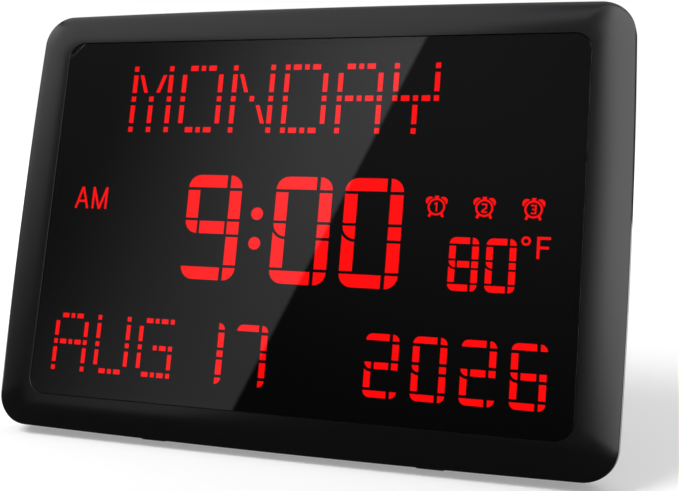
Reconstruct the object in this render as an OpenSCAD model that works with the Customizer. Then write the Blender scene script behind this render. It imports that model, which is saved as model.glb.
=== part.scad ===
// Day clock with a large red readout: a shallow case that leans back on a folding stand.
// Local frame of every module: x to the right, y from the front face to the rear, z up from the case's bottom edge.
// in_place() then leans the whole clock back and sets its feet on z = 0.

/* [Case] */
// Width of the case at mid height
case_w = 330; // [300:1:360]
// Height of the case at mid width
case_h = 234; // [215:1:260]
// Depth of the case from the lens border to the rear panel
case_d = 26; // [25:0.5:34]
// Radius of the case's corners
corner_r = 17; // [10:1:26]
// How far the left and right edges bow outwards
side_bow = 1.4; // [0:0.1:3]
// How far the top and bottom edges bow outwards
top_bow = 1.2; // [0:0.1:3]
// Wall thickness of the mouldings
wall = 2.2; // [1.6:0.1:3]
// Depth of the parting line between bezel and rear cover
parting_y = 13; // [12:0.5:14]
// How far the rear panel is drawn in from the outline
rear_draw_in = 9; // [5:0.5:12]
// Depth over which the rear edge is rounded
rear_round_d = 7; // [4:0.5:8]

/* [Bezel and lens] */
// Width of the border beside the lens, at mid height
border_w = 21.5; // [19:0.5:24]
// Height of the border above and below the lens
border_h = 19; // [17:0.5:21]
// Radius of the lens corners
lens_r = 9; // [5:1:14]
// Thickness of the lens
lens_t = 2; // [1.5:0.1:2.5]
// How far the lens lies behind the bezel's inner border
lens_recess = 0.3; // [0.1:0.1:0.6]
// Drop of the sloping border from the lens to the rim
rim_drop = 4.9; // [3:0.1:7]
// How far the border's wall spreads outwards behind the rim
rim_flare = 0.6; // [0:0.1:1]
// Width of the ledge that carries the lens
ledge_w = 4; // [3:0.5:5]
// Thickness of the lens tape
tape_t = 0.5; // [0.2:0.1:1]
// Width of the lens tape
tape_w = 3; // [2:0.5:4]
// Gap around pieces that drop into a pocket
fit_gap = 0.25; // [0.1:0.05:0.4]

/* [Display] */
// Lens width that the read-out's places and sizes are drawn for
layout_w = 287; // [260:1:320]
// Lens height that they are drawn for
layout_h = 196; // [180:1:215]
// Thickness of the reflector block behind the lens
reflector_d = 8; // [6:0.5:8.5]
// Width of the flange around the reflector
reflector_flange = 3; // [2:0.5:4]
// Depth of the light windows' resin caps
segment_t = 1.6; // [1:0.1:3]
// Width of a letter element's dot
dot_w = 2.6; // [2:0.1:3.4]
// Height of a letter element's dot
dot_h = 2.9; // [2:0.1:3.6]
// Width of a letter element's flat dash
dash_w = 4.4; // [3:0.1:5]
// Gap above and below a letter element's upright bar
letter_gap = 2.15; // [1:0.05:2.4]
// Half width of a letter element's leaning stroke
slant_half_w = 1.1; // [0.7:0.1:1.4]
// Lean of that stroke, as a share of half the letter's width
slant_lean = 0.32; // [0.2:0.01:0.4]
// Distance from the left to the right column of a weekday letter
weekday_span = 21.4; // [18:0.1:23]
// Distance between the rows of a weekday letter
weekday_row = 17.2; // [14:0.1:19]
// Distance from one weekday cell to the next
weekday_pitch = 29.64; // [28:0.02:30]
// Scale of the month letters against the weekday letters
month_scale = 0.82; // [0.7:0.01:0.84]
// Distance from one month cell to the next
month_pitch = 25.2; // [24:0.1:26]
// Width of a time digit
time_w = 30.5; // [26:0.1:32]
// Height of a time digit
time_h = 56; // [50:0.5:58]
// Stroke of a time digit
time_stroke = 6.7; // [5:0.1:7.5]
// Width of a date or year digit
date_w = 16.8; // [14:0.1:18]
// Height of a date or year digit
date_h = 31.2; // [28:0.1:32]
// Stroke of a date or year digit
date_stroke = 3.3; // [2.5:0.1:4]
// Distance from one date or year digit to the next
date_pitch = 23.75; // [22:0.05:24]
// Width of a temperature digit
temp_w = 14.4; // [12:0.1:15.5]
// Height of a temperature digit
temp_h = 26.4; // [24:0.1:28]
// Stroke of a temperature digit
temp_stroke = 3.2; // [2.5:0.1:3.6]
// Distance from one temperature digit to the next
temp_pitch = 18.1; // [17:0.1:19]
// Gap between the elements of a digit
element_gap = 1.5; // [0.8:0.1:2]
// Outer radius of the ring in an alarm icon
icon_r = 4.4; // [3.5:0.1:5]
// Distance from one alarm icon to the next
icon_pitch = 23.7; // [20:0.1:25]

/* [Boards] */
// Thickness of the circuit boards
board_t = 1.6; // [1:0.1:1.8]
// Distance from the case's sides to the lamp board
board_edge_w = 9; // [8:0.5:12]
// Distance from the case's upper and lower edge to the lamp board
board_edge_h = 17; // [15:0.5:18]
// Shank radius of the board and cover screws
screw_r = 1.45; // [1.2:0.05:1.7]
// Head radius of the screws
screw_head_r = 2.8; // [2.4:0.1:3]
// Head height of the screws
screw_head_h = 2; // [1.4:0.1:2.4]
// Outer radius of the screw posts
post_r = 4; // [3.8:0.1:4.4]

/* [Rear panel] */
// Radius of a keyhole's round entry
keyhole_r = 4.5; // [4:0.1:5]
// Radius of a keyhole's slot
keyhole_slot_r = 2.1; // [1.8:0.1:2.4]
// Length of a keyhole's slot, from the entry's centre
keyhole_slot_l = 9; // [7:0.5:12]
// Distance between the keyholes
keyhole_pitch = 160; // [120:1:200]
// Distance from the case's upper edge down to the keyholes
keyhole_drop = 42; // [34:1:54]
// Width of the cable recess round the power socket
socket_recess_w = 14; // [13:0.5:18]
// Height of the cable recess round the power socket
socket_recess_h = 9; // [8.5:0.5:12]
// Depth of the cable recess round the power socket
socket_recess_d = 7; // [6.5:0.5:8]
// Width of the power socket's shell
socket_w = 8.94; // [8:0.02:9.4]
// Height of the power socket's shell
socket_h = 3.2; // [3:0.1:4]
// Number of vent slots
vent_count = 9; // [5:1:13]
// Width of a vent slot
vent_w = 2; // [1.5:0.1:3]
// Length of a vent slot
vent_l = 22; // [14:1:30]

/* [Stand] */
// How far the clock leans back, in degrees
lean = 16.6; // [14:0.2:19]
// Height of the stand's hinge above the case's bottom edge
stand_hinge_z = 118; // [110:1:125]
// Slope of the opened leg from upright, in degrees
stand_splay = 11; // [9:0.5:12.5]
// Width of the stand's leg
stand_w = 56; // [44:1:70]
// Thickness of the stand's leg
stand_t = 4.5; // [3.5:0.5:5]
// Radius of the stand's hinge pin
stand_pin_r = 1.5; // [1.2:0.1:1.8]
// Radial play of the stand on its pin
stand_play = 0.06; // [0.02:0.01:0.1]
// Thickness of the rubber shoe under the leg
shoe_t = 2; // [1.5:0.5:3]

/* [Buttons and battery] */
// Distance from one button to the next
button_pitch = 17; // [15:0.5:20]
// Radius of a button's cap
button_r = 4.5; // [3.5:0.1:5]
// How far a button stands out of the panel
button_proud = 1; // [0.6:0.1:1.6]
// How far a button travels
button_travel = 0.6; // [0.3:0.05:0.8]
// Radius of the coin cell
cell_r = 10; // [10:0.1:10]
// Thickness of the coin cell
cell_t = 3.2; // [2.5:0.1:3.2]

/* [Feet] */
// Length of a rubber foot along the bottom edge
foot_l = 14; // [8:1:40]
// Height of a rubber foot below the case
foot_t = 0.8; // [0.6:0.1:2]

/* [Hidden] */
$fn = 48;
eps = 0.01;
half_w = case_w / 2;
half_h = case_h / 2;
mid_z = half_h;
lens_w = case_w - 2 * border_w;
lens_h = case_h - 2 * border_h;
face_k = min(lens_w / layout_w, lens_h / layout_h);
lens_back_y = lens_recess + lens_t;
ledge_y = lens_back_y + tape_t;
ledge_t = 1.6;
display_y = lens_back_y + 0.1;
reflector_y = ledge_y + ledge_t;
reflector_back = display_y + reflector_d;
board_y = reflector_back;
board_back = board_y + board_t;
panel_y = case_d - wall;
corner_steps = 8;
side_steps = 6;
board_w = case_w - 2 * board_edge_w;
board_h = case_h - 2 * board_edge_h;

// Half the opening inside the ledge
window_hw = lens_w / 2 - ledge_w;
window_hh = lens_h / 2 - ledge_w;
window_r = max(lens_r - ledge_w, 1);

// Screw places, measured from the middle of the face
board_post_edge = 14;
cover_post_edge_w = 16;
cover_post_edge_h = 19;
board_post_x = half_w - board_post_edge;
board_post_z = board_h * 0.31;
cover_post_x = half_w - cover_post_edge_w;
cover_post_z = half_h - cover_post_edge_h;
post_top = parting_y;

// Hinge, leg and floor, in the leaning frame
stand_recess_d = stand_t + 1.8;
stand_recess_w = stand_w + 2;
hinge_y = case_d - stand_recess_d / 2 - 0.2;
barrel_r = stand_recess_d / 2 - 0.4;
foot_y0 = case_d - rear_round_d - 1.5;
foot_y1 = case_d - rear_round_d;
sole_y = foot_y1 - 0.5;
floor_h = sole_y * sin(lean) + foot_t * cos(lean);
hinge_h = stand_hinge_z * cos(lean) - hinge_y * sin(lean) + floor_h;
leg_l = (hinge_h - 0.4) / cos(stand_splay);
fold_angle = stand_splay + lean;

// Depth range of the case in the upright world frame, for centring
front_reach = min([for (t = [0 : 0.05 : 1]) crown_y(t) * cos(lean) + (half_h - lens_h / 2) * t * sin(lean)]);
rear_reach = max([for (k = [0 : 6]) rear_ring_y(k) * cos(lean) + (case_h - rear_ring_in(k)) * sin(lean)]);
shift_y = -(front_reach + rear_reach) / 2;

// Size of the flat cable and of its plugs
cable_w = 10;
cable_t = 0.4;
plug_w = 12;
plug_t = 2.2;
plug_h = 5;

// Size of a lamp
lamp_w = 1.6;
lamp_d = 0.8;

// Light sensor, measured from the middle of the face
sensor_x = -lens_w / 2 + 10.5;
sensor_u = -lens_h / 2 + 7.5;
sensor_r = 1.5;

// Places on the rear panel
keyhole_xs = [-keyhole_pitch / 2, keyhole_pitch / 2];
button_x = -90;
button_z = mid_z + 33;
flange_t = 1;
stem_l = 1;
slide_gap = 0.1;
plunger_h = 0.6;
switch_h = 3.4;
switch_w = 6;
key_back = panel_y - 2 * slide_gap - flange_t - stem_l - button_travel - plunger_h - switch_h;
key_board_h = 14;
key_post_r = 2.6;
key_flange_r = button_r + 1.2;
key_post_x = 2 * button_pitch + key_flange_r + key_post_r + 1.2;
key_board_w = 2 * (key_post_x + 3.5);
key_screw_r = 1.1;
key_screw_head_r = 2.1;
key_screw_head_h = 1.4;
battery_x = 105;
battery_z = mid_z + 43;
door_w = 28;
door_h = 26;
cell_back = panel_y - 0.3;
cell_front = cell_back - cell_t;
contact_t = 0.3;
pocket_floor = cell_front - contact_t;
pocket_floor_t = 1.6;
socket_x = -100;
socket_z = mid_z - 85;
recess_floor = case_d - socket_recess_d;
recess_wall = 1.8;
vent_x = 95;
vent_z = mid_z - 57;
vent_pitch = 5;
stand_top = stand_hinge_z + barrel_r + 0.6;
pin_l = stand_recess_w + 2 * 1.8;
cover_seat = parting_y + 3;

// ---------- shared geometry ----------

// Leans a piece back and puts the clock on the floor
module in_place() {
    translate([0, shift_y, floor_h]) rotate([-lean, 0, 0]) children();
}

// Moves from the bottom edge to the middle of the face
module from_middle() {
    translate([0, 0, mid_z]) children();
}

// A flat piece in the plane of the face, from depth y0 to y1, with z up
module plate(y0, y1) {
    translate([0, y1, 0]) rotate([90, 0, 0]) linear_extrude(y1 - y0) children();
}

// A round piece along the depth, from y0 to y1
module rod(x, z, r, y0, y1) {
    translate([x, y1, z]) rotate([90, 0, 0]) cylinder(r = r, h = y1 - y0);
}

// A box from its low corner to its high corner
module block(low, high) {
    translate(low) cube(high - low);
}

module rounded_rect(hw, hh, r) {
    union() {
        square([2 * (hw - r), 2 * hh], center = true);
        square([2 * hw, 2 * (hh - r)], center = true);
        for (sx = [-1, 1], sz = [-1, 1]) translate([sx * (hw - r), sz * (hh - r)]) circle(r = r);
    }
}

// One quarter of an outline: a corner arc and the bowed side that follows it
function quarter(hw, hh, r, bx, bz, start) =
    let (cx = hw - bx - r, cz = hh - bz - r,
         sx = (start == 0 || start == 270) ? 1 : -1,
         sz = (start < 180) ? 1 : -1)
    concat(
        [for (k = [0 : corner_steps]) let (a = start + 90 * k / corner_steps)
            [sx * cx + r * cos(a), sz * cz + r * sin(a)]],
        [for (k = [1 : side_steps - 1]) let (f = 1 - 2 * k / side_steps)
            start == 0 ? [f * cx, hh - bz * f * f] :
            start == 90 ? [-hw + bx * f * f, f * cz] :
            start == 180 ? [-f * cx, -hh + bz * f * f] :
            [hw - bx * f * f, -f * cz]]);

// Closed outline of a bowed rounded rectangle, centred on the face
function outline(hw, hh, r, bx, bz) =
    concat(quarter(hw, hh, r, bx, bz, 0), quarter(hw, hh, r, bx, bz, 90),
        quarter(hw, hh, r, bx, bz, 180), quarter(hw, hh, r, bx, bz, 270));

function case_outline(inset) =
    outline(half_w - inset, half_h - inset, max(corner_r - inset * 0.8, 2), side_bow, top_bow);
function lens_outline(grow) =
    outline(lens_w / 2 + grow, lens_h / 2 + grow, lens_r + grow, 0, 0);
function at_depth(points, y) = [for (p = points) [p[0], y, p[1] + mid_z]];
function between(a, b, t) = [for (i = [0 : len(a) - 1]) a[i] * (1 - t) + b[i] * t];

// Depth of the border's face, from the rim (t = 0) to the lens (t = 1)
function crown_y(t) = rim_drop * (1 - pow(1 - pow(1 - t, 1.9), 0.82));

// Depth and inset of the rear cover's rings, a rounded shoulder in six steps
function rear_ring_y(k) = case_d - rear_round_d * (1 - sin(15 * k));
function rear_ring_in(k) = rear_draw_in * (1 - cos(15 * k));

// Skin between rings, closed either by end caps or by joining the last ring to the first
module loft(rings, joined) {
    n = len(rings[0]);
    m = len(rings);
    spans = joined ? m : m - 1;
    points = [for (ring = rings) each ring];
    sides = [for (j = [0 : spans - 1], i = [0 : n - 1]) let (k = (j + 1) % m, l = (i + 1) % n) each [
        [j * n + i, j * n + l, k * n + l],
        [j * n + i, k * n + l, k * n + i]]];
    caps = joined ? [] : [[for (i = [n - 1 : -1 : 0]) i], [for (i = [0 : n - 1]) (m - 1) * n + i]];
    polyhedron(points, concat(sides, caps), convexity = 6);
}

// A screw along the depth, its head towards the rear, the head's underside at seat_y
module screw(x, z, seat_y, tip_y) {
    difference() {
        union() {
            rod(x, z, screw_head_r, seat_y, seat_y + screw_head_h);
            rod(x, z, screw_r, tip_y, seat_y);
        }
        for (a = [0, 90]) translate([x, seat_y + screw_head_h, z]) rotate([0, a, 0])
            cube([screw_head_r * 1.3, 1.6, 0.7], center = true);
    }
}

// ---------- display elements ----------

// Letter cells are five by five pictures: dots and bars on odd rows, bars and diagonals on even ones
letter_m = ["#...#", "##.##", "#.#.#", "#.#.#", "#.#.#"];
letter_o = [".###.", "#...#", "#...#", "#...#", ".###."];
letter_n = ["#...#", "##..#", "#.#.#", "#..##", "#...#"];
letter_d = ["####.", "#...#", "#...#", "#...#", "####."];
letter_a = [".###.", "#...#", "#####", "#...#", "#...#"];
letter_y = ["#...#", "#...#", "#####", "..#..", "..#.."];
letter_u = ["#...#", "#...#", "#...#", "#...#", ".###."];
letter_g = [".####", "#....", "#.###", "#...#", ".####"];
no_letter = [".....", ".....", ".....", ".....", "....."];

// Digit elements: a top, b its right end, c d upper sides, e f g middle, h i lower sides, j bottom, k its right end
full_digit = "abcdefghijk";
digit_0 = "abcdeghijk";
digit_1 = "bdgik";
digit_2 = "abdefghjk";
digit_6 = "abcefghijk";
digit_7 = "abdgik";
digit_8 = "abcdefghijk";
digit_9 = "abcdefgijk";

weekday_cells = [no_letter, letter_m, letter_o, letter_n, letter_d, letter_a, letter_y, no_letter, no_letter];
month_cells = [letter_a, letter_u, letter_g];
month_element = 0.86;
weekday_x = -130.8;
weekday_u = 83.1;
month_x = -131.3;
month_u = -55.4;
time_lefts = [-99.4, -62.1, -12.4, 24.9];
time_u = -32.1;
time_digits = ["", digit_9, digit_0, digit_0];
colon_x = -22;
colon_us = [3.8, -11.8];
colon_r = 3.3;
day_x = -50.4;
day_digits = [digit_1, digit_7];
year_x = 41.9;
year_digits = [digit_2, digit_0, digit_2, digit_6];
date_u = -85.4;
temp_x = 80.2;
temp_u = -31;
temp_digits = [digit_8, digit_0];
icon_x = 72.3;
icon_u = 10.2;

function has(word, letter) = len([for (c = word) if (c == letter) c]) > 0;
// Keeps what is lit, or what is left dark, out of a cell of the same kind
function letter_part(shown, lit) =
    [for (r = [0 : 4]) [for (c = [0 : 4]) (shown[r][c] == "#") == lit]];
function digit_part(shown, lit) =
    [for (c = full_digit) if (has(shown, c) == lit) c];

// One letter element, drawn flat, at row r and column c of a cell whose top left dot is at the origin
module letter_element(r, c, span, row, s) {
    half = span / 2;
    x = c * half / 2;
    u = -r * row / 2;
    bar_h = row - (dot_h + 2 * letter_gap) * s;
    translate([x, u]) {
        if (r % 2 == 0 && c % 2 == 0) square([dot_w, dot_h] * s, center = true);
        if (r % 2 == 0 && c % 2 == 1) square([dash_w, dot_h] * s, center = true);
        if (r % 2 == 1 && c % 2 == 0) square([dot_w * s, bar_h], center = true);
        if (r % 2 == 1 && c % 2 == 1) slant(bar_h, half * (r == c ? slant_lean : -slant_lean), s);
    }
}

// A leaning stroke that runs from the upper left to the lower right when its shift is positive
module slant(h, shift, s) {
    w = slant_half_w * s;
    polygon([[-shift / 2 - w, h / 2], [shift / 2 - w, -h / 2], [shift / 2 + w, -h / 2], [-shift / 2 + w, h / 2]]);
}

module letter(shown, lit, span, row, s, y0, y1) {
    marks = letter_part(shown, lit);
    for (r = [0 : 4], c = [0 : 4]) if (marks[r][c])
        plate(y0, y1) scale(face_k) letter_element(r, c, span, row, s);
}

// Extra gap beside a digit's corner blocks, as a share of the stroke
corner_gap = 0.08;

// One digit element, drawn flat, with the digit's lower left corner at the origin
module digit_element(e, w, h, t, g) {
    mid = h / 2 - t * 0.02;
    right = w - t;
    bar = w - t - g;
    low = t + g;
    if (e == "a") round_bar(bar - t * corner_gap, h - t, t, 1);
    if (e == "b") quarter_disc(right, h - t, t, 0);
    if (e == "c") translate([0, mid + t / 2 + g]) square([t, h / 2 - t * 1.5 - 2 * g]);
    if (e == "d") translate([right, mid + t / 2 + g]) square([t, h / 2 - t * 1.5 - 2 * g]);
    if (e == "e") quarter_disc(t, mid + t / 2, t, 180);
    if (e == "f") translate([t + g, mid - t / 2]) square([bar - t - g, t]);
    if (e == "g") translate([right, mid - t / 2]) square(t);
    if (e == "h") hollow_end(low, mid - t / 2, t, g);
    if (e == "i") translate([right, low]) square([t, mid - t / 2 - g - low]);
    if (e == "j") round_bar(bar - t * corner_gap, 0, t, -1);
    if (e == "k") quarter_disc(right, t, t, 270);
}

// A bar from the left edge whose outer left corner is round
module round_bar(l, u, t, side) {
    steps = 5;
    centre_u = side > 0 ? u : u + t;
    arc = [for (k = [0 : steps]) let (a = 180 - side * 90 * k / steps) [t + t * cos(a), centre_u + t * sin(a)]];
    far_u = side > 0 ? u + t : u;
    polygon(concat(arc, [[l, far_u], [l, centre_u]]));
}

// A quarter of a disc about a corner, from the start angle on
module quarter_disc(x, u, r, start) {
    steps = 5;
    arc = [for (k = [0 : steps]) let (a = start + 90 * k / steps) [x + r * cos(a), u + r * sin(a)]];
    polygon(concat([[x, u]], arc));
}

// The lower left bar, whose upper end is hollowed round the block above it
module hollow_end(low, mid_low, t, g) {
    steps = 5;
    r = t + g;
    first = acos(t / r);
    arc = [for (k = [0 : steps]) let (a = 180 + first + (90 - first) * k / steps)
        [t + r * cos(a), mid_low + t + r * sin(a)]];
    polygon(concat([[t, low], [0, low]], arc));
}

module digit(shown, lit, x, u, w, h, t, g, y0, y1) {
    translate([x, 0, u] * face_k) for (e = digit_part(shown, lit))
        plate(y0, y1) scale(face_k) digit_element(e, w, h, t, g);
}

module weekday(lit, y0, y1) {
    from_middle() for (i = [0 : len(weekday_cells) - 1])
        translate([weekday_x + i * weekday_pitch, 0, weekday_u] * face_k)
            letter(weekday_cells[i], lit, weekday_span, weekday_row, 1, y0, y1);
}

module month(lit, y0, y1) {
    from_middle() for (i = [0 : 2]) translate([month_x + i * month_pitch, 0, month_u] * face_k)
        letter(month_cells[i], lit, weekday_span * month_scale, weekday_row * month_scale, month_element, y0, y1);
}

module time(lit, y0, y1) {
    from_middle() {
        for (i = [0 : 3]) digit(time_digits[i], lit, time_lefts[i], time_u, time_w, time_h, time_stroke,
            element_gap, y0, y1);
        if (lit) for (u = colon_us) rod(colon_x * face_k, u * face_k, colon_r * face_k, y0, y1);
    }
}

module day(lit, y0, y1) {
    from_middle() for (i = [0 : 1])
        digit(day_digits[i], lit, day_x + i * date_pitch, date_u, date_w, date_h, date_stroke, element_gap, y0, y1);
}

module year(lit, y0, y1) {
    from_middle() for (i = [0 : 3])
        digit(year_digits[i], lit, year_x + i * date_pitch, date_u, date_w, date_h, date_stroke, element_gap, y0, y1);
}

module temperature(lit, y0, y1) {
    from_middle() for (i = [0 : 1])
        digit(temp_digits[i], lit, temp_x + i * temp_pitch, temp_u, temp_w, temp_h, temp_stroke,
            element_gap * 0.7, y0, y1);
}

// A straight stroke in the face's plane between two points
module stroke(a, b, w) {
    d = b - a;
    l = norm(d);
    n = [-d[1], d[0]] * (w / 2 / l);
    polygon([a + n, b + n, b - n, a - n]);
}

// The morning marker, two capitals with their feet at am_low
am_low = 3.8;
am_top = 15.8;
am_stroke = 1.3;
am_bar_h = 4.1;
am_a_x = -125.7;
am_a_half = 3.6;
am_m_x = -118.9;
am_m_w = 7.9;
module am(y0, y1) {
    bar_half = am_a_half * (1 - am_bar_h / (am_top - am_low));
    from_middle() plate(y0, y1) scale(face_k) union() {
        for (side = [-1, 1]) stroke([am_a_x + side * am_a_half, am_low], [am_a_x + side * 0.1, am_top], am_stroke);
        stroke([am_a_x - bar_half, am_low + am_bar_h], [am_a_x + bar_half, am_low + am_bar_h], am_stroke);
        for (x = [am_m_x, am_m_x + am_m_w]) {
            stroke([x, am_low], [x, am_top], am_stroke);
            stroke([x, am_top], [am_m_x + am_m_w / 2, am_low], am_stroke);
        }
    }
}

// The degree ring and the unit's capital
degree_r = 2.3;
degree_x = 117;
degree_u = -5.3;
f_x = 122.9;
f_low = -13.7;
f_top = -3;
f_w = 5.7;
f_stroke = 1.4;
module degree(y0, y1) {
    from_middle() {
        plate(y0, y1) scale(face_k) translate([degree_x, degree_u]) difference() {
            circle(r = degree_r);
            circle(r = degree_r / 2);
        }
        plate(y0, y1) scale(face_k) union() {
            stroke([f_x, f_low], [f_x, f_top], f_stroke);
            stroke([f_x, f_top - f_stroke / 2], [f_x + f_w, f_top - f_stroke / 2], f_stroke);
            stroke([f_x, (f_top + f_low) / 2], [f_x + f_w * 0.88, (f_top + f_low) / 2], f_stroke);
        }
    }
}

// Size and place of an alarm icon's bells, from the icon's middle
icon_bell_r = 2.2;
icon_bell_x = 3.3;
icon_bell_u = 2.9;

// The numeral inside an alarm icon
module icon_numeral(i) {
    w = 0.8;
    if (i == 0) union() {
        stroke([0.1, -2.3], [0.1, 2.3], w);
        stroke([-1, 1.3], [0.3, 2.1], w);
    }
    if (i == 1) union() {
        stroke([-1.4, 1.9], [1.2, 1.9], w);
        stroke([1, 2.1], [1, 0.2], w);
        stroke([1.1, 0.3], [-1.2, -1.7], w);
        stroke([-1.4, -1.9], [1.4, -1.9], w);
    }
    if (i == 2) union() {
        stroke([-1.3, 1.9], [1.3, 1.9], w);
        stroke([-0.7, 0], [1.2, 0], w);
        stroke([-1.3, -1.9], [1.3, -1.9], w);
        stroke([1, 2.2], [1, -2.2], w);
    }
}

// A small alarm clock with two bells, a knob and two legs
module icon(i) {
    union() {
        difference() {
            circle(r = icon_r);
            circle(r = icon_r - 1);
        }
        for (side = [-1, 1]) {
            stroke([side * 2.7, -icon_r + 1.1], [side * 3.5, -icon_r - 0.7], 1.3);
            difference() {
                translate([side * icon_bell_x, icon_bell_u]) circle(r = icon_bell_r);
                circle(r = icon_r + 0.5);
            }
        }
        translate([0, icon_r + 0.4]) square([2, 1.6], center = true);
    }
    icon_numeral(i);
}

module icons(y0, y1) {
    from_middle() for (i = [0 : 2])
        plate(y0, y1) scale(face_k) translate([icon_x + i * icon_pitch, icon_u]) icon(i);
}

// Every light window, lit or dark
module all_windows(y0, y1) {
    for (lit = [true, false]) {
        weekday(lit, y0, y1);
        month(lit, y0, y1);
        time(lit, y0, y1);
        day(lit, y0, y1);
        year(lit, y0, y1);
        temperature(lit, y0, y1);
    }
}

// Places of the small light holes behind the markers, which are only as deep as their caps
pilot_r = 0.45;
function marker_pilots() = concat(
    [for (i = [0 : 2], side = [-1, 1]) [icon_x + i * icon_pitch + side * (icon_r - 0.5), icon_u]],
    [[degree_x - degree_r * 0.75, degree_u], [degree_x + degree_r * 0.75, degree_u], [f_x, f_low + 3]],
    [for (x = [am_a_x - 2.4, am_a_x + 2.4, am_m_x, am_m_x + am_m_w]) [x, am_low + am_bar_h]]);
module marker_windows() {
    am(display_y - 1, segment_y);
    degree(display_y - 1, segment_y);
    icons(display_y - 1, segment_y);
    from_middle() for (p = marker_pilots() * face_k) {
        rod(p[0], p[1], pilot_r, segment_y - 1, reflector_back + 1);
        rod(p[0], p[1], lamp_w * 0.7, reflector_back - lamp_d - 0.3, reflector_back + 1);
    }
}

// ---------- pieces ----------

// Places of the board posts and of the cover posts
module at_board_posts() {
    for (sx = [-1, 1], sz = [-1, 0, 1]) translate([sx * board_post_x, 0, mid_z + sz * board_post_z]) children();
}
module at_cover_posts() {
    for (sx = [-1, 1], sz = [-1, 1]) translate([sx * cover_post_x, 0, mid_z + sz * cover_post_z]) children();
}

module front_bezel() {
    lens_edge = lens_outline(fit_gap);
    crown = [for (t = [1, 0.85, 0.7, 0.55, 0.42, 0.3, 0.2, 0.12, 0.06, 0.02, 0])
        at_depth(between(case_outline(0), lens_edge, t), crown_y(t))];
    inside = [
        at_depth(case_outline(-rim_flare), parting_y),
        at_depth(case_outline(wall), parting_y),
        at_depth(case_outline(wall), rim_drop + wall),
        at_depth(between(case_outline(0), lens_edge, 0.35), reflector_y),
        at_depth(lens_outline(-ledge_w), reflector_y),
        at_depth(lens_outline(-ledge_w), ledge_y),
        at_depth(lens_edge, ledge_y)];
    color("#1c1c1f") in_place() difference() {
        union() {
            loft(concat(crown, inside), true);
            at_board_posts() rod(0, 0, post_r, reflector_y - 1, board_y);
            at_cover_posts() rod(0, 0, post_r, reflector_y - 1, post_top);
        }
        at_board_posts() rod(0, 0, screw_r + 0.05, reflector_y, board_y + eps);
        at_cover_posts() rod(0, 0, screw_r + 0.05, reflector_y, post_top + eps);
    }
}

module lens() {
    color("#17171a", 0.5) in_place() from_middle()
        plate(lens_recess, lens_back_y) rounded_rect(lens_w / 2, lens_h / 2, lens_r);
}

module lens_tape() {
    inner_hw = lens_w / 2 - tape_w;
    inner_hh = lens_h / 2 - tape_w;
    color("#303030") in_place() from_middle() difference() {
        plate(lens_back_y, ledge_y) rounded_rect(lens_w / 2, lens_h / 2, lens_r);
        plate(lens_back_y - 1, ledge_y + 1) rounded_rect(inner_hw, inner_hh, lens_r - tape_w);
    }
}

module reflector() {
    color("#0a0a0b") in_place() difference() {
        from_middle() union() {
            plate(display_y, reflector_y + 1) rounded_rect(window_hw - fit_gap, window_hh - fit_gap, window_r);
            plate(reflector_y, reflector_back)
                rounded_rect(window_hw + reflector_flange, window_hh + reflector_flange, window_r);
        }
        all_windows(display_y - 1, reflector_back + 1);
        marker_windows();
        from_middle() rod(sensor_x, sensor_u, sensor_r + 0.15, display_y - 1, reflector_back + 1);
    }
}

segment_y = display_y + segment_t;
module weekday_segments() {
    color("#ff1414") in_place() weekday(true, display_y, segment_y);
}
module time_segments() {
    color("#ff1414") in_place() time(true, display_y, segment_y);
}
module month_segments() {
    color("#ff1414") in_place() month(true, display_y, segment_y);
}
module day_segments() {
    color("#ff1414") in_place() day(true, display_y, segment_y);
}
module year_segments() {
    color("#ff1414") in_place() year(true, display_y, segment_y);
}
module temperature_segments() {
    color("#ff1414") in_place() temperature(true, display_y, segment_y);
}
module am_marker() {
    color("#ff1414") in_place() am(display_y, segment_y);
}
module degree_marker() {
    color("#ff1414") in_place() degree(display_y, segment_y);
}
module alarm_markers() {
    color("#ff1414") in_place() icons(display_y, segment_y);
}

// The resin caps that are dark on this day
module spare_segments() {
    color("#241012") in_place() {
        weekday(false, display_y, segment_y);
        month(false, display_y, segment_y);
        time(false, display_y, segment_y);
        day(false, display_y, segment_y);
        year(false, display_y, segment_y);
        temperature(false, display_y, segment_y);
    }
}

module lamp_board() {
    notch_hw = cover_post_x - post_r - 1.5;
    notch_hh = cover_post_z - post_r - 1.5;
    color("#0f3d24") in_place() difference() {
        from_middle() plate(board_y, board_back) union() {
            square([board_w, 2 * notch_hh], center = true);
            square([2 * notch_hw, board_h], center = true);
        }
        at_board_posts() rod(0, 0, screw_r + 0.2, board_y - 1, board_back + 1);
    }
}

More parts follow.
